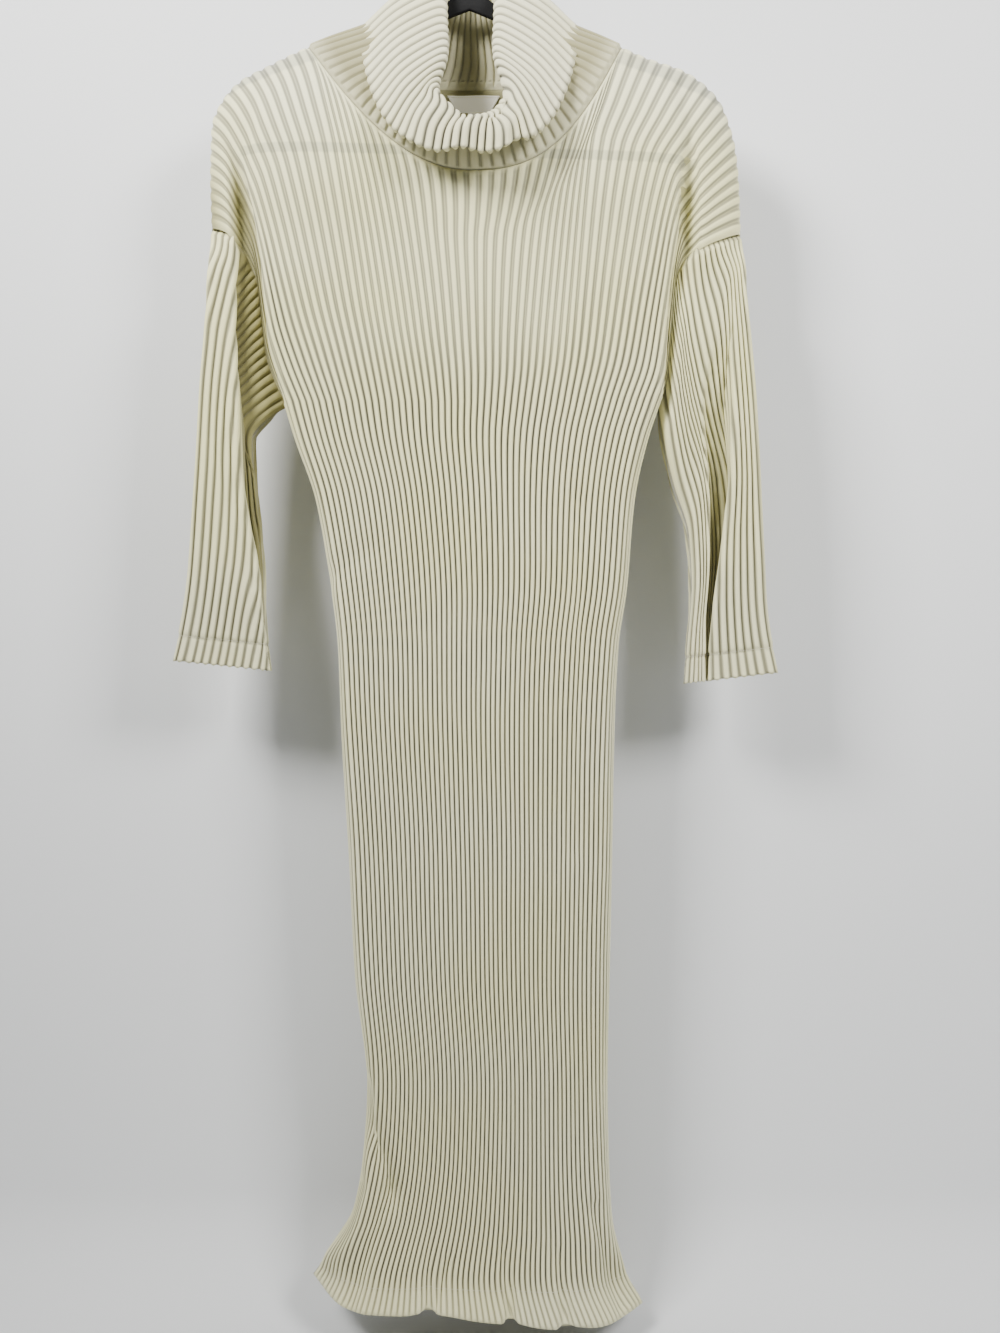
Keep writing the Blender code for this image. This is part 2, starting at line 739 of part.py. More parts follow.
def label(name, size):
    """A bare label that hangs inside the back neck, on the panel's own points moved in."""
    shell = Shell()
    outside, inside = [], []
    for drop in (0.0, 0.5, 1.0):
        half = (size["top_width"] * (1 - drop) + size["foot_width"] * drop) / 2
        x = size["middle"] + np.array([-half, 0, half])
        z = np.full(3, size["top"] - drop * size["height"])
        y = body_depth(x, np.full(3, LABEL["top"]), BACK).min() - WALL - LABEL_CLEAR
        outside.append(shell.row(np.stack([x, np.full(3, y), z], axis=1), range(3)))
        inside.append(shell.row(np.stack([x, np.full(3, y - LABEL_WALL), z], axis=1), range(3)))
    shell.walls(outside, inside)
    shell.ends(outside, inside)
    shell.build(name)


def hanger_line(x):
    """The top of the hanger's arms before it is tilted."""
    share = np.abs(x) / HANGER_HALF
    return HANGER_TOP - HANGER_SLOPE * np.abs(x) - HANGER_DROOP * share**6


def tilted(x, z):
    """A place on the hanger after it tips about its middle, right end down."""
    drop = z - HANGER_TOP
    turned = drop * math.cos(HANGER_TILT) - x * math.sin(HANGER_TILT)
    return x * math.cos(HANGER_TILT) + drop * math.sin(HANGER_TILT), HANGER_TOP + turned


def hanger(name):
    """A flat frame: two arms, rounded ends and a bar, with a raised middle for the hook."""
    shoulder = HANGER_HALF - END_REACH
    arm = np.linspace(-shoulder, shoulder, ARM_STEPS)
    outer = [(x, hanger_line(x) + CROWN_HEIGHT * math.exp(-((x / CROWN_REACH) ** 4))) for x in arm]
    bar_foot = BAR_TOP - BAR_HEIGHT
    middle = (hanger_line(shoulder) + bar_foot) / 2
    rise = (hanger_line(shoulder) - bar_foot) / 2
    turn = np.radians(np.linspace(END_TURN, -END_TURN, END_STEPS))
    right_end = [(shoulder + END_REACH * math.cos(a), middle + rise * math.sin(a)) for a in turn]
    outer += right_end + [(shoulder, bar_foot), (-shoulder, bar_foot)]
    outer += [(-x, z) for x, z in right_end[::-1]]
    reach = shoulder - BAR_HEIGHT
    hole = [(x, hanger_line(x) - ARM_DEPTH) for x in np.linspace(-reach, reach, HOLE_STEPS)]
    corner = [
        (reach + HOLE_CORNER["out"], BAR_TOP + HOLE_CORNER["up"]),
        (reach - HOLE_CORNER["in"], BAR_TOP),
    ]
    hole += corner + [(-x, z) for x, z in corner[::-1]]
    model = bmesh.new()
    edges = []
    for outline in (outer, hole):
        places = [tilted(x, z) for x, z in outline]
        verts = [model.verts.new((x * MM, -HANGER_THICK / 2 * MM, z * MM)) for x, z in places]
        edges += [model.edges.new(pair) for pair in zip(verts, verts[1:] + verts[:1])]
    bmesh.ops.triangle_fill(model, use_beauty=True, edges=edges)
    extruded = bmesh.ops.extrude_face_region(model, geom=model.faces[:])
    moved = [item for item in extruded["geom"] if isinstance(item, bmesh.types.BMVert)]
    bmesh.ops.translate(model, verts=moved, vec=(0, HANGER_THICK * MM, 0))
    bmesh.ops.recalc_face_normals(model, faces=model.faces)
    mesh = bpy.data.meshes.new(name)
    model.to_mesh(mesh)
    model.free()
    add_object(name, mesh)


def hook(name):
    """The hook: a straight foot in the hanger's middle and an open loop round the origin's rail."""
    turn = np.radians(np.linspace(HOOK_START, HOOK_END, HOOK_STEPS))
    loop = HOOK_RADIUS * np.stack([np.cos(turn), np.sin(turn)], axis=1) - (0, HOOK_RADIUS - HOOK_WIRE)
    foot = np.array([(0, HANGER_TOP + CROWN_HEIGHT + SEAM_GAP)])
    route = np.concatenate([foot, corners(HOOK_NECK), loop])
    curve = bpy.data.curves.new(name, "CURVE")
    curve.dimensions = "3D"
    curve.bevel_depth = HOOK_WIRE * MM
    curve.bevel_resolution = 2
    curve.use_fill_caps = True
    spline = curve.splines.new("POLY")
    spline.points.add(len(route) - 1)
    for point, (x, z) in zip(spline.points, route):
        point.co = (x * MM, 0, z * MM, 1)
    add_object(name, curve)


def main():
    """Every piece of the dress and its hanger."""
    for piece in list(bpy.data.objects):
        bpy.data.objects.remove(piece)
    panels = {FRONT: body_panel("front", FRONT), BACK: body_panel("back", BACK)}
    sleeve("sleeve_left", LEFT, panels)
    sleeve("sleeve_right", RIGHT, panels)
    collar("collar")
    label("label", LABEL)
    label("size_tab", SIZE_TAB)
    hanger("hanger")
    hook("hook")


main()
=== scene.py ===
import json
import math

import bmesh
import bpy
import numpy as np
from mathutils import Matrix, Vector

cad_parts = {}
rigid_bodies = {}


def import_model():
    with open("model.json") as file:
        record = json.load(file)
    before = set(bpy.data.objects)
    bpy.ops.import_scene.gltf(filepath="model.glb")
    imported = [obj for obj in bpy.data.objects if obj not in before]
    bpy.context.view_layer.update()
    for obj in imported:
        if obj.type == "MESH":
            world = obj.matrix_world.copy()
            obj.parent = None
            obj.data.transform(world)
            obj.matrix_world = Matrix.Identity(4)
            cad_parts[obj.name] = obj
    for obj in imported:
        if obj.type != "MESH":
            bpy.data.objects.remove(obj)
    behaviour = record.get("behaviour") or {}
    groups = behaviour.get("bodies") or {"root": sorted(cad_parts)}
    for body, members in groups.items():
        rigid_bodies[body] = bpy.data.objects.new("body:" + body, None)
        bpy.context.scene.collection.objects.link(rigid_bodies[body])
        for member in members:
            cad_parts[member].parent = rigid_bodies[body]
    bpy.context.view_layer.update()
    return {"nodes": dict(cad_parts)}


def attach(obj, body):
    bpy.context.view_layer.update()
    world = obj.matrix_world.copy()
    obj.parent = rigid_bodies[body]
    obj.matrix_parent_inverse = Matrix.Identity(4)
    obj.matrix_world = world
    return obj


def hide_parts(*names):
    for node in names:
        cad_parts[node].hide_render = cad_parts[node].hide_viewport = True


# The tables give sizes in millimetres: X to the right, -Y to the front, +Z up, the rail at the origin.
MM = 0.001

FRONT, BACK = -1, 1
LEFT, RIGHT = -1, 1
SIDES = ("left", "right")

# Driving sizes of the knit
WALL = 1.5
SEAM_HALF = 0.15
BODY_RIBS = 64
SHOULDER_RIBS = 18
SLEEVE_SEAM_RIBS, SLEEVE_BACK_RIBS = 22, 18
SLEEVE_CUFF_RIBS = {LEFT: 19, RIGHT: 22}
SIDE_RIBS = {LEFT: 2.3, RIGHT: 1.5}
COLLAR_QUARTERS = (21, 21, 17, 17)
SAMPLES = 500

# The stitches that the knit's pattern shows: wales across a rib and the height of a course.
WALES_PER_RIB = 4
COURSE = 1.1

# A rib's rise, its groove's half width in pitches, and the pitches at which it is slack and stretched.
RIB_RISE, GROOVE_HALF = 2.1, 0.225
SLACK_PITCH, STRETCHED_PITCH = 5.6, 8.4

# Columns across one rib, closer at the groove. The plain inside keeps fewer rows and columns.
RIB_PHASES = np.array([0.0, 0.09, 0.18, 0.32, 0.5, 0.68, 0.82, 0.91])
INNER_ROWS, INNER_COLUMNS = 2, 4


def table(columns, *rows):
    """Rows of numbers as a dict of named columns."""
    return {name: np.array(values, float) for name, values in zip(columns.split(), zip(*rows))}


# The body from the hem up to the armpit: its edges, its depths and how round its sides are.
BODY = table(
    "z     left   right  front back  round_left round_right",
    (-1302, -147, 162, 43, 32, 22, 24),
    (-1268, -134, 142, 34, 27, 15, 20),
    (-1222, -108, 130.5, 27, 22, 11, 22),
    (-1160, -97, 127.5, 23, 20, 10, 22),
    (-1100, -94, 126.5, 22, 19, 10, 22),
    (-1000, -105, 128.5, 20, 18, 10, 22),
    (-880, -111.5, 131, 20, 18, 10, 18),
    (-762, -118, 133, 22, 19, 9, 18),
    (-690, -121, 137, 23, 20, 9, 18),
    (-640, -127, 144.5, 24, 20, 9, 17),
    (-556, -141.5, 151.7, 25, 21, 9, 14),
    (-500, -161, 164, 26, 22, 9, 11),
    (-469, -170.5, 174.5, 27, 23, 9, 9),
)

# The hem's lift and its waves in depth along it, and how they fade out above it.
HEM = table(
    "x     rise wave",
    (-147, 22, 0),
    (-114, 8, 0),
    (-60, 6, 2),
    (-46, 8, 2),
    (-37, 11, -4),
    (-30, 7, 1),
    (-20, 6, 2),
    (8, 1, 2),
    (30, -1, 2),
    (38, 1.5, -4),
    (46, -1, 2),
    (64, -5, 2),
    (78, -6, 2),
    (87, -3, -3),
    (98, -4, 1),
    (130, -6, 1),
    (162, -5, 0),
)
HEM_FADE = table("z share", (-1302, 1.0), (-1285, 0.7), (-1262, 0.3), (-1222, 0.06), (-1190, 0))

# The turned bands, and the rows of the grids that are sure to hold their stitches.
HEM_BAND, CUFF_BAND = 25.0, 24.0
HEM_ROWS, CUFF_ROWS = 16, 24

# The hem's corners taper over this width, from the first of these heights down to the second.
HEM_TIP, TIP_LEVELS = 56.0, (-1225, -1290)

# Where the inside of the hem dips, how deep and how wide, and how much of its rise the band follows.
HEM_NOTCHES, NOTCH_DIP, NOTCH_WIDTH = (-37, 38, 87), 3.0, 5.0
BAND_FOLLOW = 0.3

# The inside keeps this far from the folds beside the body, within this reach, and lies in this shade.
INNER_CLEAR, CLEAR_REACH = 3.0, (22, 8)
BODY_INSIDE, SLEEVE_INSIDE = 0.75, 0.85

CHEST = table(
    "z front back",
    (-469, 27, 23),
    (-400, 29, 24),
    (-330, 33, 25),
    (-263, 40, 26),
    (-134, 40, 26),
)
SHOULDER_ROUND = 110

# The folds between body and sleeves: the body's edges, the outer strips' edges, the recesses' depths.
FOLD = table(
    "z     left    right  strip_left strip_right recess_left recess_right share",
    (-469, -170.5, 174.5, -216, 210, 0.3, 0.3, 1.0),
    (-459, -173, 178, -216, 210, 2.5, 5, 1.0),
    (-446, -177, 179.5, -216, 210, 4, 9, 1.0),
    (-404, -186.5, 181.9, -216, 209, 5, 12, 1.0),
    (-368, -189.3, 183.5, -216, 208, 6, 12, 1.0),
    (-310, -196, 192, -217, 206, 6, 11, 1.0),
    (-285, -201, 193, -218, 204, 7, 11, 0.85),
    (-250, -213, 196, -221, 203, 9, 12, 0.45),
    (-216, -230, 199, -232, 203, 12, 14, 0.0),
    (-130, -240, 203, -242, 206, 14, 14, 0.0),
)
RECESS_SLOPE = 5

# The side's rounding at the armpit and this far above it, and the shade beside the body.
FOLD_ROUND, FOLD_ROUND_REACH = (9, 6), 30
RECESS_DARK = {LEFT: (0.9, -235, -285), RIGHT: (0.5, -300, -390)}

ARMHOLE = table(
    "share x_left   z_left  x_right z_right",
    (0.00, -170.5, -469, 174.5, -469),
    (0.14, -182, -446, 184, -447),
    (0.28, -190.5, -420, 186.5, -416),
    (0.42, -193.5, -395, 188, -388),
    (0.55, -196, -370, 190, -362),
    (0.68, -199.5, -349, 195, -343),
    (0.80, -210.5, -330, 218, -326),
    (0.90, -222.5, -313.5, 236, -317),
    (1.00, -242, -303, 253.5, -308.4),
)
ARMHOLE_DECAY = 2.6

# The top edge on both sides, from the armhole to the neck, and the neckline.
SHOULDER = {
    LEFT: table(
        "x z",
        (-242, -303), (-243, -255), (-241.7, -209), (-236.5, -193), (-229.5, -181),
        (-215.5, -166.5), (-187.4, -151), (-168.6, -141.6), (-151.8, -134.1),
    ),
    RIGHT: table(
        "x z",
        (253.5, -308.4), (252, -265), (248.2, -227.8), (242, -204), (234.1, -185.6),
        (215.4, -166), (196.7, -154.7), (168.6, -145.3), (142.3, -134.1),
    ),
}
NECK_LEFT, NECK_RIGHT, NECK_SIDE = -151.8, 142.3, -134.1
NECK_BOTTOM = {FRONT: -263.0, BACK: -164.0}
NECK_CURVE = {(FRONT, LEFT): 2.0, (FRONT, RIGHT): 2.8, (BACK, LEFT): 2.6, (BACK, RIGHT): 2.6}
NECK_LEAN = 0.45

# Soft folds of the front: places along each, its depth and half its width.
CREASES = (
    (((-128, -632), (-112, -616), (-92, -604)), 2.0, 9.0),
    (((98, -560), (101, -700), (94, -880)), 3.0, 9.0),
    (((-98, -1098), (-90, -1135), (-76, -1172), (-70, -1200)), 6.5, 8.0),
    (((-104, -1190), (-122, -1235), (-150, -1275)), 5.5, 9.0),
    (((-74, -1190), (-92, -1240), (-108, -1290)), 4.5, 9.0),
    (((112, -1210), (126, -1255), (140, -1300)), 4.0, 8.0),
    (((-20, -1255), (-28, -1285), (-33, -1305)), 4.0, 5.0),
    (((30, -1245), (36, -1300)), 2.5, 6.0),
    (((80, -1250), (87, -1300)), 2.5, 6.0),
    (((-190, -180), (-205, -240), (-212, -290)), 3.0, 8.0),
    (((196, -180), (206, -230), (204, -290)), 3.0, 9.0),
)

# A sleeve's edges in the front view, from the armhole to the cuff, and its depths.
SLEEVE_OUTER = {
    LEFT: table(
        "x z",
        (-242, -303), (-241.7, -354), (-243.5, -403), (-247.3, -452),
        (-252, -537), (-258.6, -621), (-268, -677), (-275, -706),
    ),
    RIGHT: table(
        "x z",
        (253.5, -308.4), (254.7, -354), (260, -403), (264.1, -452),
        (268.8, -565), (273.5, -649), (277.2, -677), (286, -717),
    ),
}
SLEEVE_INNER = {
    LEFT: table(
        "x z",
        (-170.5, -469), (-187, -479), (-204, -500), (-203, -530), (-195, -612), (-191, -677), (-186, -715),
    ),
    RIGHT: table(
        "x z",
        (174.5, -469), (181, -509), (190, -545), (204, -590), (207, -640), (203, -690), (200, -727),
    ),
}
SLEEVE_DEPTH = table(
    "z    front back",
    (-720, 14, 16),
    (-680, 18, 18),
    (-620, 25, 25),
    (-540, 27, 26),
    (-450, 24, 25),
    (-370, 20, 20),
    (-303, 16, 16),
)
SLEEVE_ROUND = 12

# The little waves of a free edge from rib to rib: their height and how far they reach into the cloth.
CUFF_SCALLOP, COLLAR_SCALLOP = (0.9, 8), (0.7, 10)

# A sleeve's edge runs on under the armhole: how far, and how deep its outer and inner side lie there.
SEAM_TUCK, TUCK_OUTER, TUCK_INNER = 3.0, 2.0, 2.8

# How far the left sleeve's hidden ribs run on down under the fold.
RECESS_DRIFT = 186

# Where the ribs in front of a sleeve's fold, and those beyond it, are placed, as shares.
SPREAD = (0.0, 0.2, 0.4, 0.6, 0.8, 1.0)
FAR_SPREAD = {LEFT: (0.0,), RIGHT: (0.0, 0.25, 0.5, 0.75)}

# The long fold down the front of each sleeve, by share of the way from the seam to the cuff: the
# front edge of the fold and the far side of the valley, both in the front view; the ribs in front
# of the edge and up to the far side; how far the cloth runs back under the edge; and the depths.
PLEAT = {
    LEFT: table(
        "share edge   rim    edge_rib rim_rib under floor lift amount",
        (0.00, -216, -190, 3.8, 12.0, 0, 5, 5, 0.0),
        (0.06, -216.5, -190, 4.5, 13.0, 8, 5, 5, 0.8),
        (0.14, -216.5, -190, 5.4, 15.0, 14, 5, 5, 1.0),
        (0.22, -215.5, -194, 6.3, 16.5, 17, 5, 5, 1.0),
        (0.34, -212, -197, 7.8, 17.0, 18, 5, 5, 1.0),
        (0.44, -208, -197, 8.8, 17.0, 18, 5, 5, 1.0),
        (0.56, -200, -194, 10.0, 16.6, 16, 5, 6, 1.0),
        (0.72, -191, -192, 11.8, 16.6, 13, 6, 8, 1.0),
        (0.86, -189, -189, 13.3, 16.8, 9, 8, 10, 1.0),
        (1.00, -186, -187, 14.6, 17.4, 5, 9, 11, 0.7),
    ),
    RIGHT: table(
        "share edge   rim    edge_rib rim_rib under floor lift amount",
        (0.00, 243, 240, 3.0, 4.0, 0, 9, 12, 0.0),
        (0.10, 243, 239, 4.0, 6.0, 0, 11, 13, 0.0),
        (0.19, 243, 237, 4.6, 8.3, 2, 12, 14, 0.1),
        (0.27, 242.5, 233, 5.2, 10.7, 5, 7, 16, 0.5),
        (0.40, 242, 227, 6.1, 14.2, 8, 4, 17, 1.0),
        (0.52, 240.5, 222, 6.9, 16.4, 10, 4, 17, 1.0),
        (0.68, 232.5, 219, 7.9, 17.3, 10, 4, 18, 1.0),
        (0.82, 225, 216.5, 8.9, 17.3, 7, 5, 16, 1.0),
        (1.00, 222.5, 217, 9.7, 17.3, 5, 5, 13, 0.9),
    ),
}

# Where each front rib of a sleeve starts along the armhole seam, from the shoulder to the armpit.
SEAM_PLACE = {
    LEFT: table(
        "rib place",
        (0, 0), (1.9, 0.085), (3.8, 0.165), (6, 0.26), (8.5, 0.36), (12, 0.53), (15.5, 0.70), (19, 0.86),
        (22, 1),
    ),
    RIGHT: table("rib place", (0, 0), (4, 0.11), (8, 0.22), (12, 0.34), (15, 0.45), (22, 1)),
}

# The collar's rings from the neck seam up, over the fold and down to the free edge.
COLLAR = table(
    "left  right x_front y_side y_front y_back z_side z_front z_back square drop bunch",
    (-128, 121, 0, 0, -54, 27, -124, -251, -138, 0.95, 1.8, 0.0),
    (-92, 90, 0, -2, -61, 30, -111.5, -240, -105, 0.9, 1.5, 0.1),
    (-48, 47, 2, -4, -62, 31, -91, -230, -72, 0.8, 1.2, 0.2),
    (-24, 26, 5, -5, -67, 33, -74, -223, -50, 0.6, 1.0, 0.3),
    (-32, 33, 5, -5, -74, 40, -67, -229, -47, 0.6, 1.0, 0.32),
    (-68, 67, 2, -4, -79, 45, -86, -243, -84, 0.6, 1.1, 0.32),
    (-99.5, 99.5, 0, -2, -78, 43, -114, -261, -124, 0.6, 1.15, 0.32),
)
LABEL = {"middle": 3.0, "top": -169.0, "height": 16.0, "top_width": 50.0, "foot_width": 32.0}
SIZE_TAB = {"middle": 7.0, "top": -185.5, "height": 11.0, "top_width": 19.0, "foot_width": 18.0}

# The label's clearance from the back's wall, its half thickness, its cut corners and its seam's drop.
LABEL_CLEAR, BACK_WALL = 0.5, 1.6
LABEL_HALF, LABEL_CORNER, LABEL_SEAM = 0.25, 3.0, 1.6
LABEL_ROWS, LABEL_COLUMNS = 19, 41

# Rows of stitches: the step, a stitch's length and its thickness. The thread lies just over the cloth.
SEAM_STITCH, LABEL_STITCH = (2.4, 0.8, 0.22), (2.0, 0.7, 0.2)
THREAD_LIFT = 0.15

# The hanger's crown, arms and bar, the rounding of its edges, and the hook.
HANGER_TOP, HANGER_SLOPE, HANGER_TILT = -82.5, 0.392, math.radians(1.0)
BAR_TOP, BAR_SLOPE = -246.2, 0.0293
EDGE_ROUND, EDGE_STEPS, EDGE_ANGLE = 1.6, 4, math.radians(40)
HOOK_WIRE, HOOK_RADIUS = 1.7, 18.5
HOOK_NECK = ((0, -73.2), (0, -58), (1.2, -50), (4.2, -41.5))
HOOK_START, HOOK_END, HOOK_STEPS = -62, 205, 60


# ---- Reading the tables ----


def curve(x, y, at):
    """A smooth line through points, read at any places, that doesn't overshoot them."""
    step = np.diff(x)
    slope = np.diff(y) / step
    first, second = 2 * step[1:] + step[:-1], step[1:] + 2 * step[:-1]
    level = slope[:-1] * slope[1:] <= 0
    safe = np.where(level, 1.0, slope[:-1]), np.where(level, 1.0, slope[1:])
    lean = np.zeros_like(y)
    lean[1:-1] = np.where(level, 0, (first + second) / (first / safe[0] + second / safe[1]))
    lean[0], lean[-1] = slope[0], slope[-1]
    at = np.clip(at, x[0], x[-1])
    cell = np.clip(np.searchsorted(x, at, side="right") - 1, 0, len(step) - 1)
    t = (at - x[cell]) / step[cell]
    low = (1 + 2 * t) * (1 - t) ** 2 * y[cell] + t * (1 - t) ** 2 * step[cell] * lean[cell]
    return low + t * t * (3 - 2 * t) * y[cell + 1] + t * t * (t - 1) * step[cell] * lean[cell + 1]


def read(columns, name, at, key="z"):
    """A column of a table, read smoothly at any place."""
    return curve(columns[key], columns[name], at)


def rounded(reach):
    """A quarter-round rise from 0 to 1 over a reach of 0 to 1."""
    return (1 - (1 - np.clip(reach, 0, 1)) ** 2.2) ** (1 / 2.2)


def smooth(start, end, value):
    """A soft step from 0 at start to 1 at end."""
    share = np.clip((value - start) / (end - start), 0, 1)
    return share * share * (3 - 2 * share)


def bell(value, width):
    """A soft bump of 1 at 0 that fades over a width."""
    return np.exp(-((value / width) ** 2))


def unit(vectors):
    """The same directions at length 1."""
    return vectors / np.maximum(np.linalg.norm(vectors, axis=-1, keepdims=True), 1e-9)


def lengths(points):
    """The running length along a line of points."""
    return np.concatenate(([0], np.cumsum(np.linalg.norm(np.diff(points, axis=0), axis=1))))


def along(points, shares):
    """Points at shares of the length of a line of points."""
    run = lengths(points)
    return np.stack([np.interp(shares * run[-1], run, axis) for axis in points.T], axis=1)


def corners(line):
    """The points of a table of places in the front view, on a smooth line."""
    places = np.arange(len(line["x"]), dtype=float)
    fine = np.linspace(0, places[-1], 8 * len(places))
    return np.column_stack([curve(places, line["x"], fine), curve(places, line["z"], fine)])


def line_distance(x, z, line):
    """The distance from points in the front view to a line of points."""
    points = np.stack([x, z], axis=-1)
    best = np.full(np.shape(x), np.inf)
    for start, end in zip(line, line[1:]):
        run = end - start
        share = np.clip((points - start) @ run / (run @ run), 0, 1)
        best = np.minimum(best, np.linalg.norm(points - start - share[..., None] * run, axis=-1))
    return best


TOP_OUTLINE = np.concatenate([corners(SHOULDER[LEFT]), corners(SHOULDER[RIGHT])[::-1]])


# ---- Forms of the body ----


def rounded_top(distance):
    """The fall of the cloth from the shoulder line, quick at first and then slow."""
    share = np.clip(distance / SHOULDER_ROUND, 0, 1)
    return np.sqrt(1 - (1 - share) ** 2)


def body_depth(x, z, face):
    """How far the front or back panel stands from the seam plane at a place in the front view."""
    name = "front" if face == FRONT else "back"
    armpit = BODY["z"][-1]
    lower = z < armpit
    chest = read(CHEST, name, z) * rounded_top(line_distance(x, z, TOP_OUTLINE))
    full = np.where(lower, read(BODY, name, z), chest)
    left, right = (np.where(lower, read(BODY, side, z), read(FOLD, side, z)) for side in SIDES)
    turn = np.interp(z, (armpit, armpit + FOLD_ROUND_REACH), FOLD_ROUND)
    turns = (np.where(lower, read(BODY, "round_" + side, z), turn) for side in SIDES)
    gaps = x - left, right - x
    square = math.prod(rounded(gap / turn) for gap, turn in zip(gaps, turns))
    tip = math.prod(np.sin(math.pi / 2 * np.clip(gap / HEM_TIP, 0, 1)) for gap in gaps)
    inside = square + (tip - square) * smooth(*TIP_LEVELS, z)
    recess = np.where(x < 0, read(FOLD, "recess_left", z), read(FOLD, "recess_right", z))
    floor = np.minimum(np.where(lower, 0, recess), full)
    strips = x - read(FOLD, "strip_left", z), read(FOLD, "strip_right", z) - x
    strip_left, strip_right = (smooth(-RECESS_SLOPE, RECESS_SLOPE, strip) for strip in strips)
    share = np.where(lower, 1, read(FOLD, "share", z) * strip_left * strip_right)
    return np.maximum(full - (full - floor) * share * (1 - inside), SEAM_HALF)


def hem_shift(x, z):
    """The lift and the depth wave of the hem, fading out above it."""
    fade = read(HEM_FADE, "share", z)
    return fade * read(HEM, "rise", x, "x"), fade * read(HEM, "wave", x, "x")


def level_row(z, face, shares):
    """One level row of a body panel, from the left side seam to the right one."""
    fine = np.linspace(0, 1, SAMPLES)
    left, right = read(BODY, "left", z), read(BODY, "right", z)
    x = left + (right - left) * fine
    rise, wave = hem_shift(x, np.full_like(x, z))
    depth = body_depth(x, np.full_like(x, z), face)
    if face == FRONT:
        depth = depth + wave * rounded(depth / depth.max())
    return along(np.stack([x, face * np.maximum(depth, SEAM_HALF), z + rise], axis=1), shares)


def neck_line(face):
    """The neckline in the front view, from the left side of the neck to the right one."""
    x = NECK_LEFT + (NECK_RIGHT - NECK_LEFT) * (1 - np.cos(np.linspace(0, math.pi, SAMPLES))) / 2
    share = np.where(x < 0, x / NECK_LEFT, x / NECK_RIGHT)
    power = np.where(x < 0, NECK_CURVE[face, LEFT], NECK_CURVE[face, RIGHT])
    z = NECK_BOTTOM[face] + (NECK_SIDE - NECK_BOTTOM[face]) * share**power
    return np.stack([x, z], axis=1)


def top_edge(face, ribs):
    """The top edge in the front view at each rib count: shoulder, neckline, shoulder."""
    far = BODY_RIBS - SHOULDER_RIBS
    left = along(corners(SHOULDER[LEFT]), np.clip(ribs / SHOULDER_RIBS, 0, 1))
    right = along(corners(SHOULDER[RIGHT])[::-1], np.clip((ribs - far) / SHOULDER_RIBS, 0, 1))
    lean = (1, NECK_LEAN)
    shares = np.clip((ribs - SHOULDER_RIBS) / (far - SHOULDER_RIBS), 0, 1)
    neck = along(neck_line(face) * lean, shares) / lean
    return np.where((ribs < SHOULDER_RIBS)[:, None], left, np.where((ribs > far)[:, None], right, neck))


def armhole(side, share):
    """A point of the armhole seam in the front view."""
    name = "_left" if side == LEFT else "_right"
    return np.array([read(ARMHOLE, axis + name, share, "share") for axis in "xz"])


def body_grid(face, levels, rises, ribs):
    """A body panel's smooth middle: level rows up to the armpit, then rows up to the top edge."""
    shares = ribs / BODY_RIBS
    rows = [level_row(z, face, shares) for z in levels]
    armpit, top = rows[-1][:, [0, 2]], top_edge(face, ribs)
    lean = (rows[-1][:, 0] - rows[-2][:, 0]) / (rows[-1][:, 2] - rows[-2][:, 2])
    edges = {LEFT: (1 - shares) ** ARMHOLE_DECAY, RIGHT: shares**ARMHOLE_DECAY}
    inside = np.clip(1 - edges[LEFT] - edges[RIGHT], 0, 1)
    turn = inside * (lean * (top[:, 1] - armpit[:, 1]) - (top[:, 0] - armpit[:, 0]))
    for share in rises:
        flat = (1 - share) * armpit + share * top
        flat[:, 0] += turn * share * (1 - share) ** 2
        for side, weight in edges.items():
            bend = armhole(side, share) - (1 - share) * armhole(side, 0) - share * armhole(side, 1)
            flat = flat + weight[:, None] * bend
        depth = body_depth(flat[:, 0], flat[:, 1], face)
        if share == 1:
            depth[(ribs <= SHOULDER_RIBS) | (ribs >= BODY_RIBS - SHOULDER_RIBS)] = SEAM_HALF
        rows.append(np.stack([flat[:, 0], face * depth, flat[:, 1]], axis=1))
    return np.array(rows)


# ---- Ribs and walls ----


def surface_normals(rows, closed=False):
    """Normals of a grid of points, rows by columns."""
    if closed:
        across = np.roll(rows, -1, axis=1) - np.roll(rows, 1, axis=1)
    else:
        across = np.gradient(rows, axis=1)
    return unit(np.cross(across, np.gradient(rows, axis=0)))


def rib_columns(ribs, closed=False):
    """The rib count at each column of a grid."""
    columns = (np.arange(ribs)[:, None] + RIB_PHASES[None, :]).ravel()
    return columns if closed else np.append(columns, ribs)


def rib_pitch(grid, ribs):
    """The distance from rib to rib at every point of a grid."""
    step = np.linalg.norm(np.diff(grid, axis=1), axis=2) / np.maximum(np.diff(ribs), 1e-6)
    step = np.concatenate([step[:, :1], (step[:, 1:] + step[:, :-1]) / 2, step[:, -1:]], axis=1)
    width = len(RIB_PHASES)
    total = np.cumsum(np.pad(step, ((0, 0), (width, width)), mode="edge"), axis=1)
    return (total[:, 2 * width:] - total[:, :-2 * width]) / (2 * width)


def ring_pitch(grid):
    """The distance from rib to rib at every point of a grid that closes on itself."""
    step = np.linalg.norm(np.roll(grid, -1, axis=1) - grid, axis=2)
    width = len(RIB_PHASES)
    total = np.cumsum(np.concatenate([step[:, -width:], step, step[:, :width]], axis=1), axis=1)
    return (total[:, 2 * width:] - total[:, :-2 * width]) / 2


def run_down(grid):
    """The running length down every column of a grid."""
    steps = np.linalg.norm(np.diff(grid, axis=0), axis=2)
    return np.cumsum(np.pad(steps, ((1, 0), (0, 0))), axis=0)


def level_line(outer, level):
    """The points of a cloth's outer side at which its level passes zero, column by column."""
    order = np.argsort(level[:, 0])
    columns = zip(level[order].T, outer[order].transpose(1, 2, 0))
    return np.array([[np.interp(0, heights, axis) for axis in axes] for heights, axes in columns])


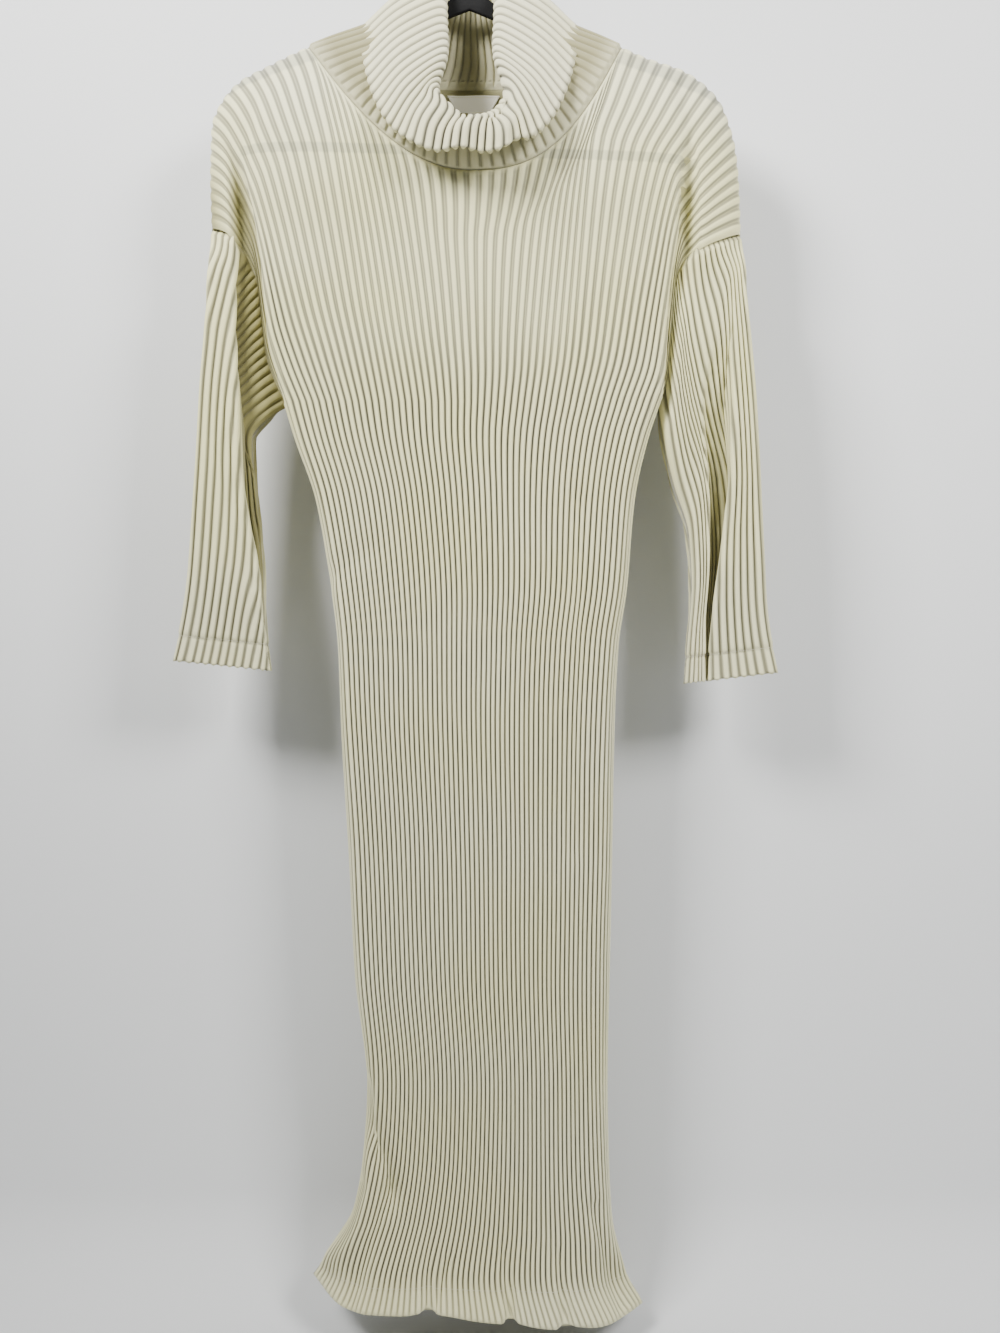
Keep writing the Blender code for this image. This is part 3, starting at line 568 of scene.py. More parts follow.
def ripple(a, b, seed):
    """A slow, even unevenness from -1 to 1 over two running values."""
    first = np.sin(1.7 * a + 0.9 * b + seed) * np.sin(0.61 * a - 1.3 * b + 2.1 * seed)
    return 0.6 * first + 0.4 * np.sin(2.9 * a + 0.43 * b + 1.7 * seed)


def rib_form(ribs, pitch, deep=1.0, wide=0.0):
    """The rise of the ribs and how much painted shade each point takes from lying down in a groove."""
    stretch = smooth(SLACK_PITCH, STRETCHED_PITCH, pitch)
    half = GROOVE_HALF + 0.06 * stretch + wide
    height = (RIB_RISE - 1.0 * stretch) * deep
    away = np.abs(ribs - np.round(ribs))
    rise = smooth(0, 1, away / half)
    crown = 0.12 * np.cos(math.pi * np.clip((0.5 - away) / 0.4, 0, 1))
    tone = smooth(1.0, 0.6 + 0.05 * stretch, away / half) * (1 - 0.22 * stretch)
    tone = tone * (1 - 0.35 * stretch * bell(away, 0.06))
    return height * (rise + crown), tone


def scallops(count, to_edge, size, reach):
    """The waves of a free edge, one for each rib."""
    return size * np.cos(2 * math.pi * count)[None, :] * smooth(reach, 0, to_edge)


def shade_smooth(mesh):
    """Lets light run softly over all faces of a mesh."""
    mesh.polygons.foreach_set("use_smooth", np.ones(len(mesh.polygons), bool))


def add_object(name, data):
    """A new object in the scene."""
    piece = bpy.data.objects.new(name, data)
    bpy.context.scene.collection.objects.link(piece)
    return piece


def cell_corners(grid, outward):
    """The four corners of every cell of a grid, in turn."""
    turn = [grid[:-1, :-1], grid[:-1, 1:], grid[1:, 1:], grid[1:, :-1]]
    return np.stack(turn if outward else turn[::-1], axis=2)


class Cloth:
    """A wall of cloth from an outer and an inner grid of points and the rims between them."""

    def __init__(self):
        self.points, self.quads, self.thirds = [], [], []
        self.places, self.spots = [], []
        self.values = {"groove_shade": [], "shade": []}
        self.count = 0

    def side(self, grid, ribs, runs, outward, closed=False, groove_shade=0.0, shade=0.0):
        """Adds one side, with its rib count across and its length along as the pattern's places."""
        index = self.count + np.arange(grid[..., 0].size).reshape(grid.shape[:2])
        self.count += index.size
        self.points.append(grid.reshape(-1, 3))
        for name, value in (("groove_shade", groove_shade), ("shade", shade)):
            self.values[name].append(np.broadcast_to(value, index.shape).ravel())
        places = np.stack(np.broadcast_arrays(ribs * WALES_PER_RIB, runs / COURSE), axis=-1)
        self.spots.append(places.reshape(-1, 2))
        if closed:
            end = np.full(len(grid), math.ceil(ribs.max()) * WALES_PER_RIB)
            places = np.concatenate([places, np.stack([end, places[:, 0, 1]], axis=-1)[:, None]], axis=1)
            index = np.concatenate([index, index[:, :1]], axis=1)
        self.quads.append(cell_corners(index, outward).reshape(-1, 4))
        self.places.append(cell_corners(places, outward).reshape(-1, 4, 2))
        return index

    def rim(self, first, second):
        """Triangles between two rows of vertices that may hold different numbers of points."""
        i = j = 0
        ends = len(first) - 1, len(second) - 1
        while i < ends[0] or j < ends[1]:
            if j == ends[1] or (i < ends[0] and (i + 1) * ends[1] <= (j + 1) * ends[0]):
                self.thirds.append((first[i], first[i + 1], second[j]))
                i += 1
            else:
                self.thirds.append((first[i], second[j + 1], second[j]))
                j += 1

    def rims(self, out, inn, outward, ends=False):
        """Closes the wall along its first and last rows and, where asked, along its ends."""
        for edge in (0, -1):
            turned = (edge == 0) == outward
            rows, columns = (out[edge], inn[edge]), (out[:, edge], inn[:, edge])
            self.rim(*(rows[::-1] if turned else rows))
            if ends:
                self.rim(*(columns if turned else columns[::-1]))

    def build(self, name, material, weld=False):
        """The finished piece as a mesh object with its pattern map and its values."""
        points = np.concatenate(self.points) * MM
        quads, places = np.concatenate(self.quads), np.concatenate(self.places)
        thirds = np.array(self.thirds).reshape(-1, 3)
        spots = np.concatenate(self.spots)
        mesh = bpy.data.meshes.new(name)
        mesh.from_pydata(points.tolist(), [], quads.tolist() + thirds.tolist())
        layer = mesh.uv_layers.new(name="courses")
        flat = np.concatenate([places.reshape(-1, 2), spots[thirds].reshape(-1, 2)])
        layer.data.foreach_set("uv", flat.astype(np.float32).ravel())
        for value, parts in self.values.items():
            attribute = mesh.attributes.new(value, "FLOAT", "POINT")
            attribute.data.foreach_set("value", np.concatenate(parts).astype(np.float32))
        shade_smooth(mesh)
        model = bmesh.new()
        model.from_mesh(mesh)
        if weld:
            bmesh.ops.remove_doubles(model, verts=model.verts, dist=0.00002)
            bmesh.ops.dissolve_degenerate(model, edges=model.edges, dist=0.00002)
        if model.calc_volume(signed=True) < 0:
            bmesh.ops.reverse_faces(model, faces=model.faces)
        model.to_mesh(mesh)
        model.free()
        mesh.materials.append(material)
        return add_object(name, mesh)


def area_of(grid, closed=False):
    """The area of a smooth grid of points, in square metres."""
    if closed:
        grid = np.concatenate([grid, grid[:, :1]], axis=1)
    across, up = grid[:-1, 1:] - grid[:-1, :-1], grid[1:, :-1] - grid[:-1, :-1]
    return float(np.linalg.norm(np.cross(across, up), axis=2).sum()) * MM * MM


# ---- Front and back ----

LEVELS = np.concatenate([np.arange(-1302, -1262, 3.2), np.arange(-1262, -480, 8.0), [-476, -469]])
RISES = smooth(0, 1, np.linspace(0, 1, 46)) * 0.35 + np.linspace(0, 1, 46) * 0.65


def creased(rows, still):
    """The smooth front with its soft folds pressed in, fading out towards its side seams."""
    x, z, normals = rows[..., 0], rows[..., 2], surface_normals(rows)
    for places, depth, width in CREASES:
        away = line_distance(x, z, np.array(places, float))
        rows = rows - normals * (depth * still * bell(away, width))[..., None]
    return rows


def panel_relief(rows, x, z, face, ribs, seam):
    """The rise of a panel's ribs and the painted shade of its grooves and side seams, calmed at hem and
    seams.
    """
    count = ribs[None, :]
    bend = ripple(z / 63, count * 0.8, 1.0 + face)
    rise, groove_shade = rib_form(count + 0.03 * bend, rib_pitch(rows, ribs))
    rise = rise * (1 + 0.12 * ripple(z / 90, count * 2.3, 4.0))
    hem = level_hem(x, z)
    above = np.abs(rows - rows[:1])[..., 2]
    rise = rise * (1 - 0.2 * smooth(12, -6, hem)) - 0.35 * bell(hem, 1.8)
    rise = rise * smooth(-1.5, 3.5, above)
    groove_shade = groove_shade * (1 - 0.4 * smooth(14, -12, hem)) * smooth(-3, 4, above)
    rise = rise * smooth(0, 0.5, seam) - 0.4 * bell(seam, 0.2)
    groove_shade = groove_shade * smooth(0.1, 0.5, seam) + 0.35 * bell(seam, 0.12)
    neck = line_distance(x, z, neck_line(face)[::12])
    shoulder = np.minimum(*[line_distance(x, z, corners(SHOULDER[side])) for side in (LEFT, RIGHT)])
    for edge in (neck, shoulder):
        rise = rise * smooth(0, 3.0, edge) - 0.4 * bell(edge, 1.6)
        groove_shade = groove_shade * smooth(0.5, 4.0, edge)
    return rise, groove_shade


def body_panel(name, face, material):
    """One body panel. Returns it, its area, its rows from the armpit up and its hem's stitch line."""
    ribs = rib_columns(BODY_RIBS)
    rows = body_grid(face, LEVELS, RISES[1:], ribs)
    area = area_of(rows)
    x, z = rows[..., 0], rows[..., 2]
    seam = np.minimum(ribs, BODY_RIBS - ribs)[None, :]
    if face == FRONT:
        rows = creased(rows, smooth(0, 6.0, seam))
    normals = surface_normals(rows) * -face
    rows[..., 1] = face * np.maximum(face * rows[..., 1], SEAM_HALF)
    rise, groove_shade = panel_relief(rows, x, z, face, ribs, seam)
    outer = rows + normals * rise[..., None]
    kept = np.unique(np.append(np.arange(0, len(rows), INNER_ROWS), len(rows) - 1))
    inner = (rows - normals * WALL)[kept][:, ::INNER_COLUMNS]
    dips = sum(bell(inner[0, :, 0] - middle, NOTCH_WIDTH) for middle in HEM_NOTCHES)
    inner[0, :, 2] -= NOTCH_DIP * dips
    off_fold = [np.abs(inner[..., 0] - read(FOLD, side, inner[..., 2])) for side in SIDES]
    near_fold = smooth(*CLEAR_REACH, np.minimum(*off_fold)) * smooth(-490, -469, inner[..., 2])
    inner[..., 1] -= face * INNER_CLEAR * near_fold
    for part in (outer, inner):
        part[..., 1] = face * np.maximum(face * part[..., 1], SEAM_HALF)
    run = np.cumsum(np.pad(np.abs(np.diff(z, axis=0)), ((1, 0), (0, 0))), axis=0)
    shade = recess_shade(x, rows[..., 1], z)
    cloth = Cloth()
    out = cloth.side(outer, ribs[None, :], run, face == FRONT, groove_shade=groove_shade, shade=shade)
    inside_ribs, inside_run = ribs[None, ::INNER_COLUMNS], run[kept][:, ::INNER_COLUMNS]
    inn = cloth.side(inner, inside_ribs, inside_run, face != FRONT, shade=BODY_INSIDE)
    cloth.rims(out, inn, face == FRONT, ends=True)
    low = slice(0, HEM_ROWS)
    sewn = level_line(outer[low] + normals[low] * THREAD_LIFT, level_hem(x, z)[low])
    return cloth.build(name, material), area, rows[len(LEVELS) - 1:], sewn


def level_hem(x, z):
    """The height above the hem's turned band."""
    rise = read(HEM, "rise", x, "x")
    return z - (BODY["z"][0] + HEM_BAND + rise * BAND_FOLLOW)


def recess_shade(x, y, z):
    """How much a place lies in the yellowish shade beside the body."""
    side = np.where(x < 0, read(FOLD, "left", z) - x, x - read(FOLD, "right", z))
    deep = smooth(0, 7, side) * smooth(-479, -459, z) * smooth(24, 7, np.abs(y))
    left, right = (dark * smooth(start, end, z) for dark, start, end in RECESS_DARK.values())
    return deep * np.where(x < 0, left, right)


# ---- Sleeves ----


def sleeve_rows(side, shares, seam):
    """The front-view rows of a sleeve from the armhole to the cuff, at even places from 0 to 1."""
    fine = np.linspace(0, 1, SAMPLES)
    start = along(seam[:, [0, 2]], fine)
    rows = []
    for share in shares:
        flat = (1 - share) * start
        for edges, weight, first in (
            (SLEEVE_OUTER, 1 - fine, start[0]),
            (SLEEVE_INNER, fine, start[-1]),
        ):
            line = corners(edges[side])
            cuff = line[-1]
            bend = along(line, np.array([share]))[0] - (1 - share) * first - share * cuff
            flat = flat + share * weight[:, None] * cuff + weight[:, None] ** 2 * bend
        rows.append(flat)
    return rows


def crossing(row, x, side):
    """The place along a row, 0 to 1, where it reaches a given x in the front view."""
    fine = np.linspace(0, 1, len(row))
    inward = -side * row[:, 0]
    return float(np.interp(-side * x, np.maximum.accumulate(inward), fine))


def fan_places(at, edge_rib, edge, total):
    """Rib places that gather evenly towards the fold's edge, before the fold opens."""
    fine = np.linspace(0, total - edge_rib, SAMPLES)
    reach = np.cumsum(0.32 + 0.68 * smooth(0, 8, fine))
    inner = edge + (1 - edge) * np.interp(at - edge_rib, fine, reach / reach[-1])
    outer = edge * np.clip(at / edge_rib, 0, 1) ** 1.15
    return np.where(at < edge_rib, outer, inner)


def pleat_spots(side, share, row, value, total):
    """Chosen ribs across the fold of one front row: their counts, places along it and depths."""
    width = float(lengths(row)[-1])
    depth = float(read(SLEEVE_DEPTH, "front", row[len(row) // 2, 1]))
    edge, rim = (crossing(row, value[name], side) for name in ("edge", "rim"))
    rim = min(max(rim, edge - 0.02), 0.93)
    amount, edge_rib = value["amount"], value["edge_rib"]
    floor, lift = (depth + (value[name] - depth) * amount for name in ("floor", "lift"))
    under = value["under"] * amount / width
    rim_rib = min(max(value["rim_rib"], edge_rib + 0.9), total - 1.2)
    back_rib = edge_rib + (rim_rib - edge_rib) * min(0.5, 0.15 + under * width / 40)
    back = max(edge - under, 0.06)
    turn, slack = 0.3, 2.2 / width
    side_rib = 0.4 + SIDE_RIBS[side] * smooth(0, 0.25, share)
    outer_x, fold_x = row[0, 0], value["edge"] + 2.2 * side
    inner_x = row[-1, 0] + 2.5 * side
    gather = 1 + 0.15 * float(smooth(0.75, 0.45, share))
    spread, far = [], []
    for f in SPREAD:
        x = outer_x - 3 * side + f * (fold_x - outer_x + 3 * side)
        spread.append((side_rib + f * (edge_rib - 2 * turn - side_rib), crossing(row, x, side), depth))
    for f in FAR_SPREAD[side]:
        x = value["rim"] + f**gather * (inner_x - value["rim"])
        place = max(rim + 0.02, crossing(row, x, side))
        far.append((rim_rib + 0.3 + f * (total - rim_rib - 1.2), place, lift))
    spots = [
        (0.0, 0.0, 0.0),
        (0.45 * side_rib, 0.012, 0.55 * depth),
        *spread,
        (edge_rib, edge, depth - 2.4 * amount),
        (edge_rib + turn, edge - slack * 0.6 * amount, depth - 5.0 * amount),
        (back_rib - turn, back + slack * 0.5, floor + 3.5 * amount),
        (back_rib, back, floor + 1.6 * amount),
        (back_rib + turn, back + slack * 0.6, floor),
        (rim_rib - 0.5, max(rim - 0.03, back + slack), floor + 0.2 * (lift - floor)),
        *far,
        (total - 0.9, 0.955, 0.8 * min(lift, depth)),
        (total - 0.3, 0.99, 0.4 * min(lift, depth)),
        (total, 1.0, 0.0),
    ]
    ribs, places, depths = (np.array(column, float) for column in zip(*spots))
    least = 0.03 * np.arange(len(ribs))
    ribs = np.maximum.accumulate(ribs - least) + least
    return ribs * (total / ribs[-1]), places, depths, edge


def sleeve_front(side, share, row, count, seam):
    """One front row of a sleeve with its long fold, at each rib count, in the front view and depth."""
    value = {name: float(read(PLEAT[side], name, share, "share")) for name in PLEAT[side]}
    edge_rib = value["edge_rib"]
    total = SLEEVE_SEAM_RIBS + (SLEEVE_CUFF_RIBS[side] - SLEEVE_SEAM_RIBS) * smooth(0.2, 1.0, share)
    ribs, places, depths, edge = pleat_spots(side, share, row, value, total)
    at = np.minimum(count, total)
    places, depths = curve(ribs, places, at), curve(ribs, depths, at)
    plain = read(SEAM_PLACE[side], "place", at * SLEEVE_SEAM_RIBS / total, "rib")
    late = 0.1 + 0.18 * smooth(4, 12, at) * (side == RIGHT)
    if side == RIGHT:
        fan = fan_places(at, edge_rib, edge, total)
        places = fan + (places - fan) * smooth(0.12, 0.8, share)
    places = plain + (places - plain) * smooth(0, late, share)
    flat = np.stack([np.interp(places, np.linspace(0, 1, len(row)), axis) for axis in row.T], axis=1)
    if side == LEFT:
        drift, reach = along(seam, plain), RECESS_DRIFT * share
        drift[:, 0] = np.maximum(drift[:, 0] - reach, row[0, 0] + 14)
        drift[:, 1] -= reach * np.interp(at, (edge_rib, total), (1.25, 0.65))
        hidden = smooth(edge_rib + 0.2, edge_rib + 1.4, at) * smooth(total, total - 1.6, at)
        flat += (drift - flat) * (hidden * smooth(0.32, 0.16, share))[:, None]
    return flat, depths, total


def sleeve_grid(side, face, shares, panel):
    """The smooth middle of a sleeve's front or back, its rib counts and its ribs up to the seam."""
    edge = panel[::-1, 0 if side == LEFT else -1]
    rows = sleeve_rows(side, shares, edge)
    ribs = rib_columns(SLEEVE_SEAM_RIBS if face == FRONT else SLEEVE_BACK_RIBS)
    place = read(SEAM_PLACE[side], "place", ribs, "rib") if face == FRONT else ribs / ribs[-1]
    seam_depth = np.abs(along(edge, place)[:, 1])
    grid, totals = [], []
    for share, row in zip(shares, rows):
        if face == FRONT:
            flat, depth, total = sleeve_front(side, share, row, ribs, edge[:, [0, 2]])
        else:
            total = SLEEVE_BACK_RIBS - 4.0 * smooth(0, 1, share)
            place = np.minimum(ribs, total) / total
            flat = along(row, place)
            full = read(SLEEVE_DEPTH, "back", flat[:, 1])
            outer = rounded(line_distance(*flat.T, corners(SLEEVE_OUTER[side])) / SLEEVE_ROUND)
            inner = rounded(line_distance(*flat.T, corners(SLEEVE_INNER[side])) / SLEEVE_ROUND)
            depth = full * outer * inner
        depth = seam_depth + (depth - seam_depth) * smooth(0, 0.12, share)
        grid.append(np.stack([flat[:, 0], face * depth, flat[:, 1]], axis=1))
        totals.append(np.full(len(ribs), total))
    return np.array(grid), ribs, np.array(totals)


SLEEVE_SPANS = ((0, 0.1, 10), (0.113, 0.9, 58), (0.91, 1, 14))
SLEEVE_SHARES = np.concatenate([np.linspace(*span) for span in SLEEVE_SPANS])


def tube_normals(grid, side):
    """Normals of a sleeve, also where its ribs end in the inner edge and share one place."""
    across = np.roll(grid, -1, axis=1) - np.roll(grid, 1, axis=1)
    raw = unit(np.cross(across, np.gradient(grid, axis=0)))
    columns = np.arange(grid.shape[1])
    good = np.linalg.norm(across, axis=2) > 0.3
    inward = np.array([side, 0.0, 0.0])
    for row, known in zip(raw, good):
        middle = row[columns[known]]
        for axis in range(3):
            row[:, axis] = np.interp(columns, columns[known], middle[:, axis], period=len(columns))
        row[~known] += inward * 0.5
    return unit(raw)


def sleeve_relief(side, grid, count, run, band, left_over):
    """The rise of a sleeve's ribs and the painted shade of its grooves, cuff turn and seam, calmed at cuff,
    seam and rib ends.
    """
    pitch, z = np.clip(ring_pitch(grid), 3.5, 6.3), grid[..., 2]
    bend = ripple(z / 60, count * 0.7, 3.0 + side)
    rise, groove_shade = rib_form(count + 0.03 * bend, pitch, 1.2)
    rise = rise * (1 + 0.12 * ripple(z / 70, count * 2.1, 6.0))
    rise = rise * (1 - 0.3 * smooth(3, -2, band)) - 0.9 * bell(band, 1.5)
    rise = rise * smooth(-0.1, 0.7, left_over) - 0.7 * bell(left_over, 0.3)
    rise = rise * smooth(0, 3, run) - 0.4 * bell(run, 1.6)
    # Painted shade lines along the cuff's turn and along the armhole seam, stronger on the right sleeve.
    line = 0.6 * bell(band, 1.2) + (0.3 if side == RIGHT else 0.05) * bell(run, 1.0)
    return rise, np.maximum(groove_shade * (0.4 + 0.46 * smooth(3.2, 5.4, pitch)), line)


def sleeve(name, side, panels, material):
    """A sleeve: the folded front and the plain back as one tube, its area and its cuff's stitch line."""
    parts = {face: sleeve_grid(side, face, SLEEVE_SHARES, panels[face]) for face in (FRONT, BACK)}
    front, ribs, totals = parts[FRONT]
    back, back_ribs, back_totals = parts[BACK]
    grid = np.concatenate([front[:, :-1], back[:, ::-1][:, :-1]], axis=1)
    count = np.concatenate([ribs[:-1], SLEEVE_SEAM_RIBS + (SLEEVE_BACK_RIBS - back_ribs[::-1])[:-1]])
    rest, back_rest = totals - ribs, back_totals - back_ribs
    left_over = np.concatenate([rest[:, :-1], back_rest[:, ::-1][:, :-1]], axis=1)
    normals = tube_normals(grid, side)
    middle = len(grid) // 2
    if np.sum(normals[middle] * (grid[middle] - grid[middle].mean(axis=0))) < 0:
        normals = -normals
    for _ in range(2):
        normals = unit(normals + np.roll(normals, 1, axis=1) + np.roll(normals, -1, axis=1))
    run = run_down(grid)
    to_cuff = run[-1:] - run
    band = to_cuff - CUFF_BAND
    rise, groove_shade = sleeve_relief(side, grid, count[None, :], run, band, left_over)
    outer = grid + normals * rise[..., None]
    outer[..., 2] += scallops(count, to_cuff, *CUFF_SCALLOP)
    inner = (grid - normals * WALL)[:, ::INNER_COLUMNS]
    tuck = grid[0] - unit(grid[2] - grid[0]) * SEAM_TUCK
    outer = np.concatenate([[tuck - normals[0] * TUCK_OUTER], outer])
    inner = np.concatenate([[(tuck - normals[0] * TUCK_INNER)[::INNER_COLUMNS]], inner])
    shade = pleat_shade(side, count)
    run, groove_shade, shade = (np.concatenate([values[:1], values]) for values in (run, groove_shade, shade))
    low = slice(-CUFF_ROWS, None)
    sewn = level_line((outer[1:] + normals * THREAD_LIFT)[low], band[low])
    cloth = Cloth()
    out = cloth.side(outer, count[None, :], run, side == LEFT, True, groove_shade=groove_shade, shade=shade)
    inside_count, inside_run = count[None, ::INNER_COLUMNS], run[:, ::INNER_COLUMNS]
    inn = cloth.side(inner, inside_count, inside_run, side != LEFT, True, shade=SLEEVE_INSIDE)
    cloth.rims(out, inn, side == LEFT)
    made = cloth.build(name, material, weld=True)
    return made, area_of(grid, closed=True), np.concatenate([sewn, sewn[:1]])


def pleat_shade(side, count):
    """How much each place lies in the shade under the fold or beside the body."""
    shares = SLEEVE_SHARES[:, None]
    value = {name: read(PLEAT[side], name, SLEEVE_SHARES, "share")[:, None] for name in PLEAT[side]}
    count = count[None, :]
    front = count < SLEEVE_SEAM_RIBS
    if side == LEFT:
        under = smooth(value["edge_rib"] + 0.1, value["edge_rib"] + 0.9, count)
        turned = 0.25 + 0.7 * smooth(5, 2, count - SLEEVE_SEAM_RIBS) * smooth(0.7, 0.5, shares)
        return np.where(front, under * smooth(0.9, 0.6, shares) * 0.95, turned)
    under = smooth(value["edge_rib"], value["edge_rib"] + 0.5, count)
    under = under * smooth(value["rim_rib"] + 0.2, value["rim_rib"] - 0.8, count)
    return np.where(front, 0.6 * under * value["amount"] * smooth(0.3, 0.62, shares), 0.25)


# ---- Collar ----


def quarter(side_point, end_point, square, drop, shares):
    """A quarter of a collar ring, from its side to its front or back, with even steps."""
    angle = np.linspace(0, math.pi / 2, SAMPLES)
    x = end_point[0] + (side_point[0] - end_point[0]) * np.cos(angle) ** square
    y = side_point[1] + (end_point[1] - side_point[1]) * np.sin(angle)
    z = side_point[2] + (end_point[2] - side_point[2]) * np.sin(angle) ** drop
    return along(np.stack([x, y, z], axis=1), shares)


def collar_ring(value):
    """One ring at every rib count: left side, front, right side, back."""
    left = (value["left"], value["y_side"], value["z_side"])
    right = (value["right"], value["y_side"], value["z_side"])
    front = (value["x_front"], value["y_front"], value["z_front"])
    back = (0, value["y_back"], value["z_back"])
    arcs = []
    ends = ((left, front, 1), (right, front, -1), (right, back, 1), (left, back, -1))
    for (start, end, way), ribs in zip(ends, COLLAR_QUARTERS):
        shares = rib_columns(ribs)[:-1] / ribs
        shares = shares if way == 1 else 1 - shares
        if end is front:
            shares = shares + value["bunch"] * shares * (1 - shares)
        arcs.append(quarter(start, end, value["square"], value["drop"], shares))
    return np.concatenate(arcs)


def neck_ring():
    """The neck seam as a closed ring that matches the collar's columns."""
    halves = []
    for face, ribs in ((FRONT, sum(COLLAR_QUARTERS[:2])), (BACK, sum(COLLAR_QUARTERS[2:]))):
        flat = neck_line(face)
        depth = body_depth(flat[:, 0], flat[:, 1], face)
        depth[[0, -1]] = 0
        shares = rib_columns(ribs)[:-1] / ribs
        points = np.stack([flat[:, 0], face * depth, flat[:, 1]], axis=1)
        halves.append(along(points, shares if face == FRONT else 1 - shares))
    return np.concatenate(halves)


# The collar's rings are numbered from the neck seam (0) over the fold to the free edge.
COLLAR_ROWS = 62
FOLD_ROW, LAST_ROW = 4.5, 7.0

# How far the wall's outer and inner side lie from the smooth rings, and the seam allowance inside it.
COLLAR_OUT, COLLAR_IN = 0.5, 0.7
ALLOWANCE = 8.5

# The opening in front: its place and reach, and how far its sides are pushed apart and its foot dropped.
SLOT = {"middle": 2.5, "level": -198.0, "above": 26.0, "below": 15.0, "push": 15.0, "drop": 19.0}
SLOT_EDGE, SLOT_FLAT, SLOT_FADE = 5.0, 10, 26.0

# The front's small bunches, in width and depth, and the notch of the free edge, counted in ribs.
BUNCH = {"ribs": 8.0, "out": 2.2, "up": 1.6}
NOTCH = {"rib": 5.5, "ribs": 1.1, "in": 5.0, "up": 7.0}


def collar_rows():
    """The smooth rings of the collar from the neck seam to the free edge, and their numbers."""
    value = [{name: column[row] for name, column in COLLAR.items()} for row in range(len(COLLAR["left"]))]
    rings = np.array([neck_ring(), *(collar_ring(row) for row in value)])
    fine = np.concatenate([np.linspace(0, 0.3, 6)[:-1], np.linspace(0.3, LAST_ROW, COLLAR_ROWS - 5)])
    flat = rings.reshape(len(rings), -1)
    cell = np.clip(fine.astype(int), 0, len(rings) - 2)
    t = (fine - cell)[:, None]
    padded = np.concatenate([[2 * flat[0] - flat[1]], flat, [2 * flat[-1] - flat[-2]]])
    a, b, c, d = (padded[cell + shift] for shift in range(4))
    rows = 0.5 * (
        2 * b + (c - a) * t + (2 * a - 5 * b + 4 * c - d) * t**2 + (3 * b - a - 3 * c + d) * t**3
    )
    return rows.reshape(len(fine), -1, 3), fine


def slumped(grid, ring, from_front):
    """The collar's rows with its front bunched, its opening pressed in and its free edge notched."""
    slump = smooth(2.0, 4.4, ring)
    bunch = bell(from_front, BUNCH["ribs"])
    grid = grid.copy()
    grid[..., 1] -= BUNCH["out"] * slump * bunch * np.sin(from_front * 1.25 + 0.4 * ring)
    grid[..., 2] += BUNCH["up"] * slump * bunch * np.cos(from_front * 0.85 + ring)
    away, height = grid[..., 0] - SLOT["middle"], grid[..., 2] - SLOT["level"]
    reach = np.where(height > 0, SLOT["above"], SLOT["below"])
    part = bell(height, reach) * smooth(2.6, 3.6, ring) * smooth(17, 13, np.abs(from_front))
    push = np.tanh(away / SLOT_EDGE) * bell(np.maximum(np.abs(away) - SLOT_FLAT, 0), SLOT_FADE)
    low = bell(from_front - 4.6, 2.3) * bell(ring - FOLD_ROW, 1.0)
    low = low + 0.35 * bell(from_front, 6.0) * bell(ring - FOLD_ROW, 1.2)
    grid[..., 0] += SLOT["push"] * part * push
    grid[..., 2] -= SLOT["drop"] * low
    notch = bell(from_front - NOTCH["rib"], NOTCH["ribs"])
    grid[..., 1] += NOTCH["in"] * smooth(4.0, LAST_ROW, ring) * notch
    grid[..., 2] += NOTCH["up"] * smooth(5.2, LAST_ROW, ring) * notch
    return grid


def collar_shades(count, ring, from_front):
    """How much the outer and the inner side of the collar lie in shade."""
    back = (count >= sum(COLLAR_QUARTERS[:2]))[None, :]
    under_flap = 0.15 + 0.35 * smooth(0.05, 1.0, ring) + 0.35 * smooth(7, 15, np.abs(from_front))
    inside = smooth(3.9, 3.2, ring)
    low = 0.12 + 0.4 * smooth(3.5, 0.5, ring)
    return np.where(ring < 4.4, under_flap, 0), 0.3 * inside * low * np.where(back, 1.0, 0.9)


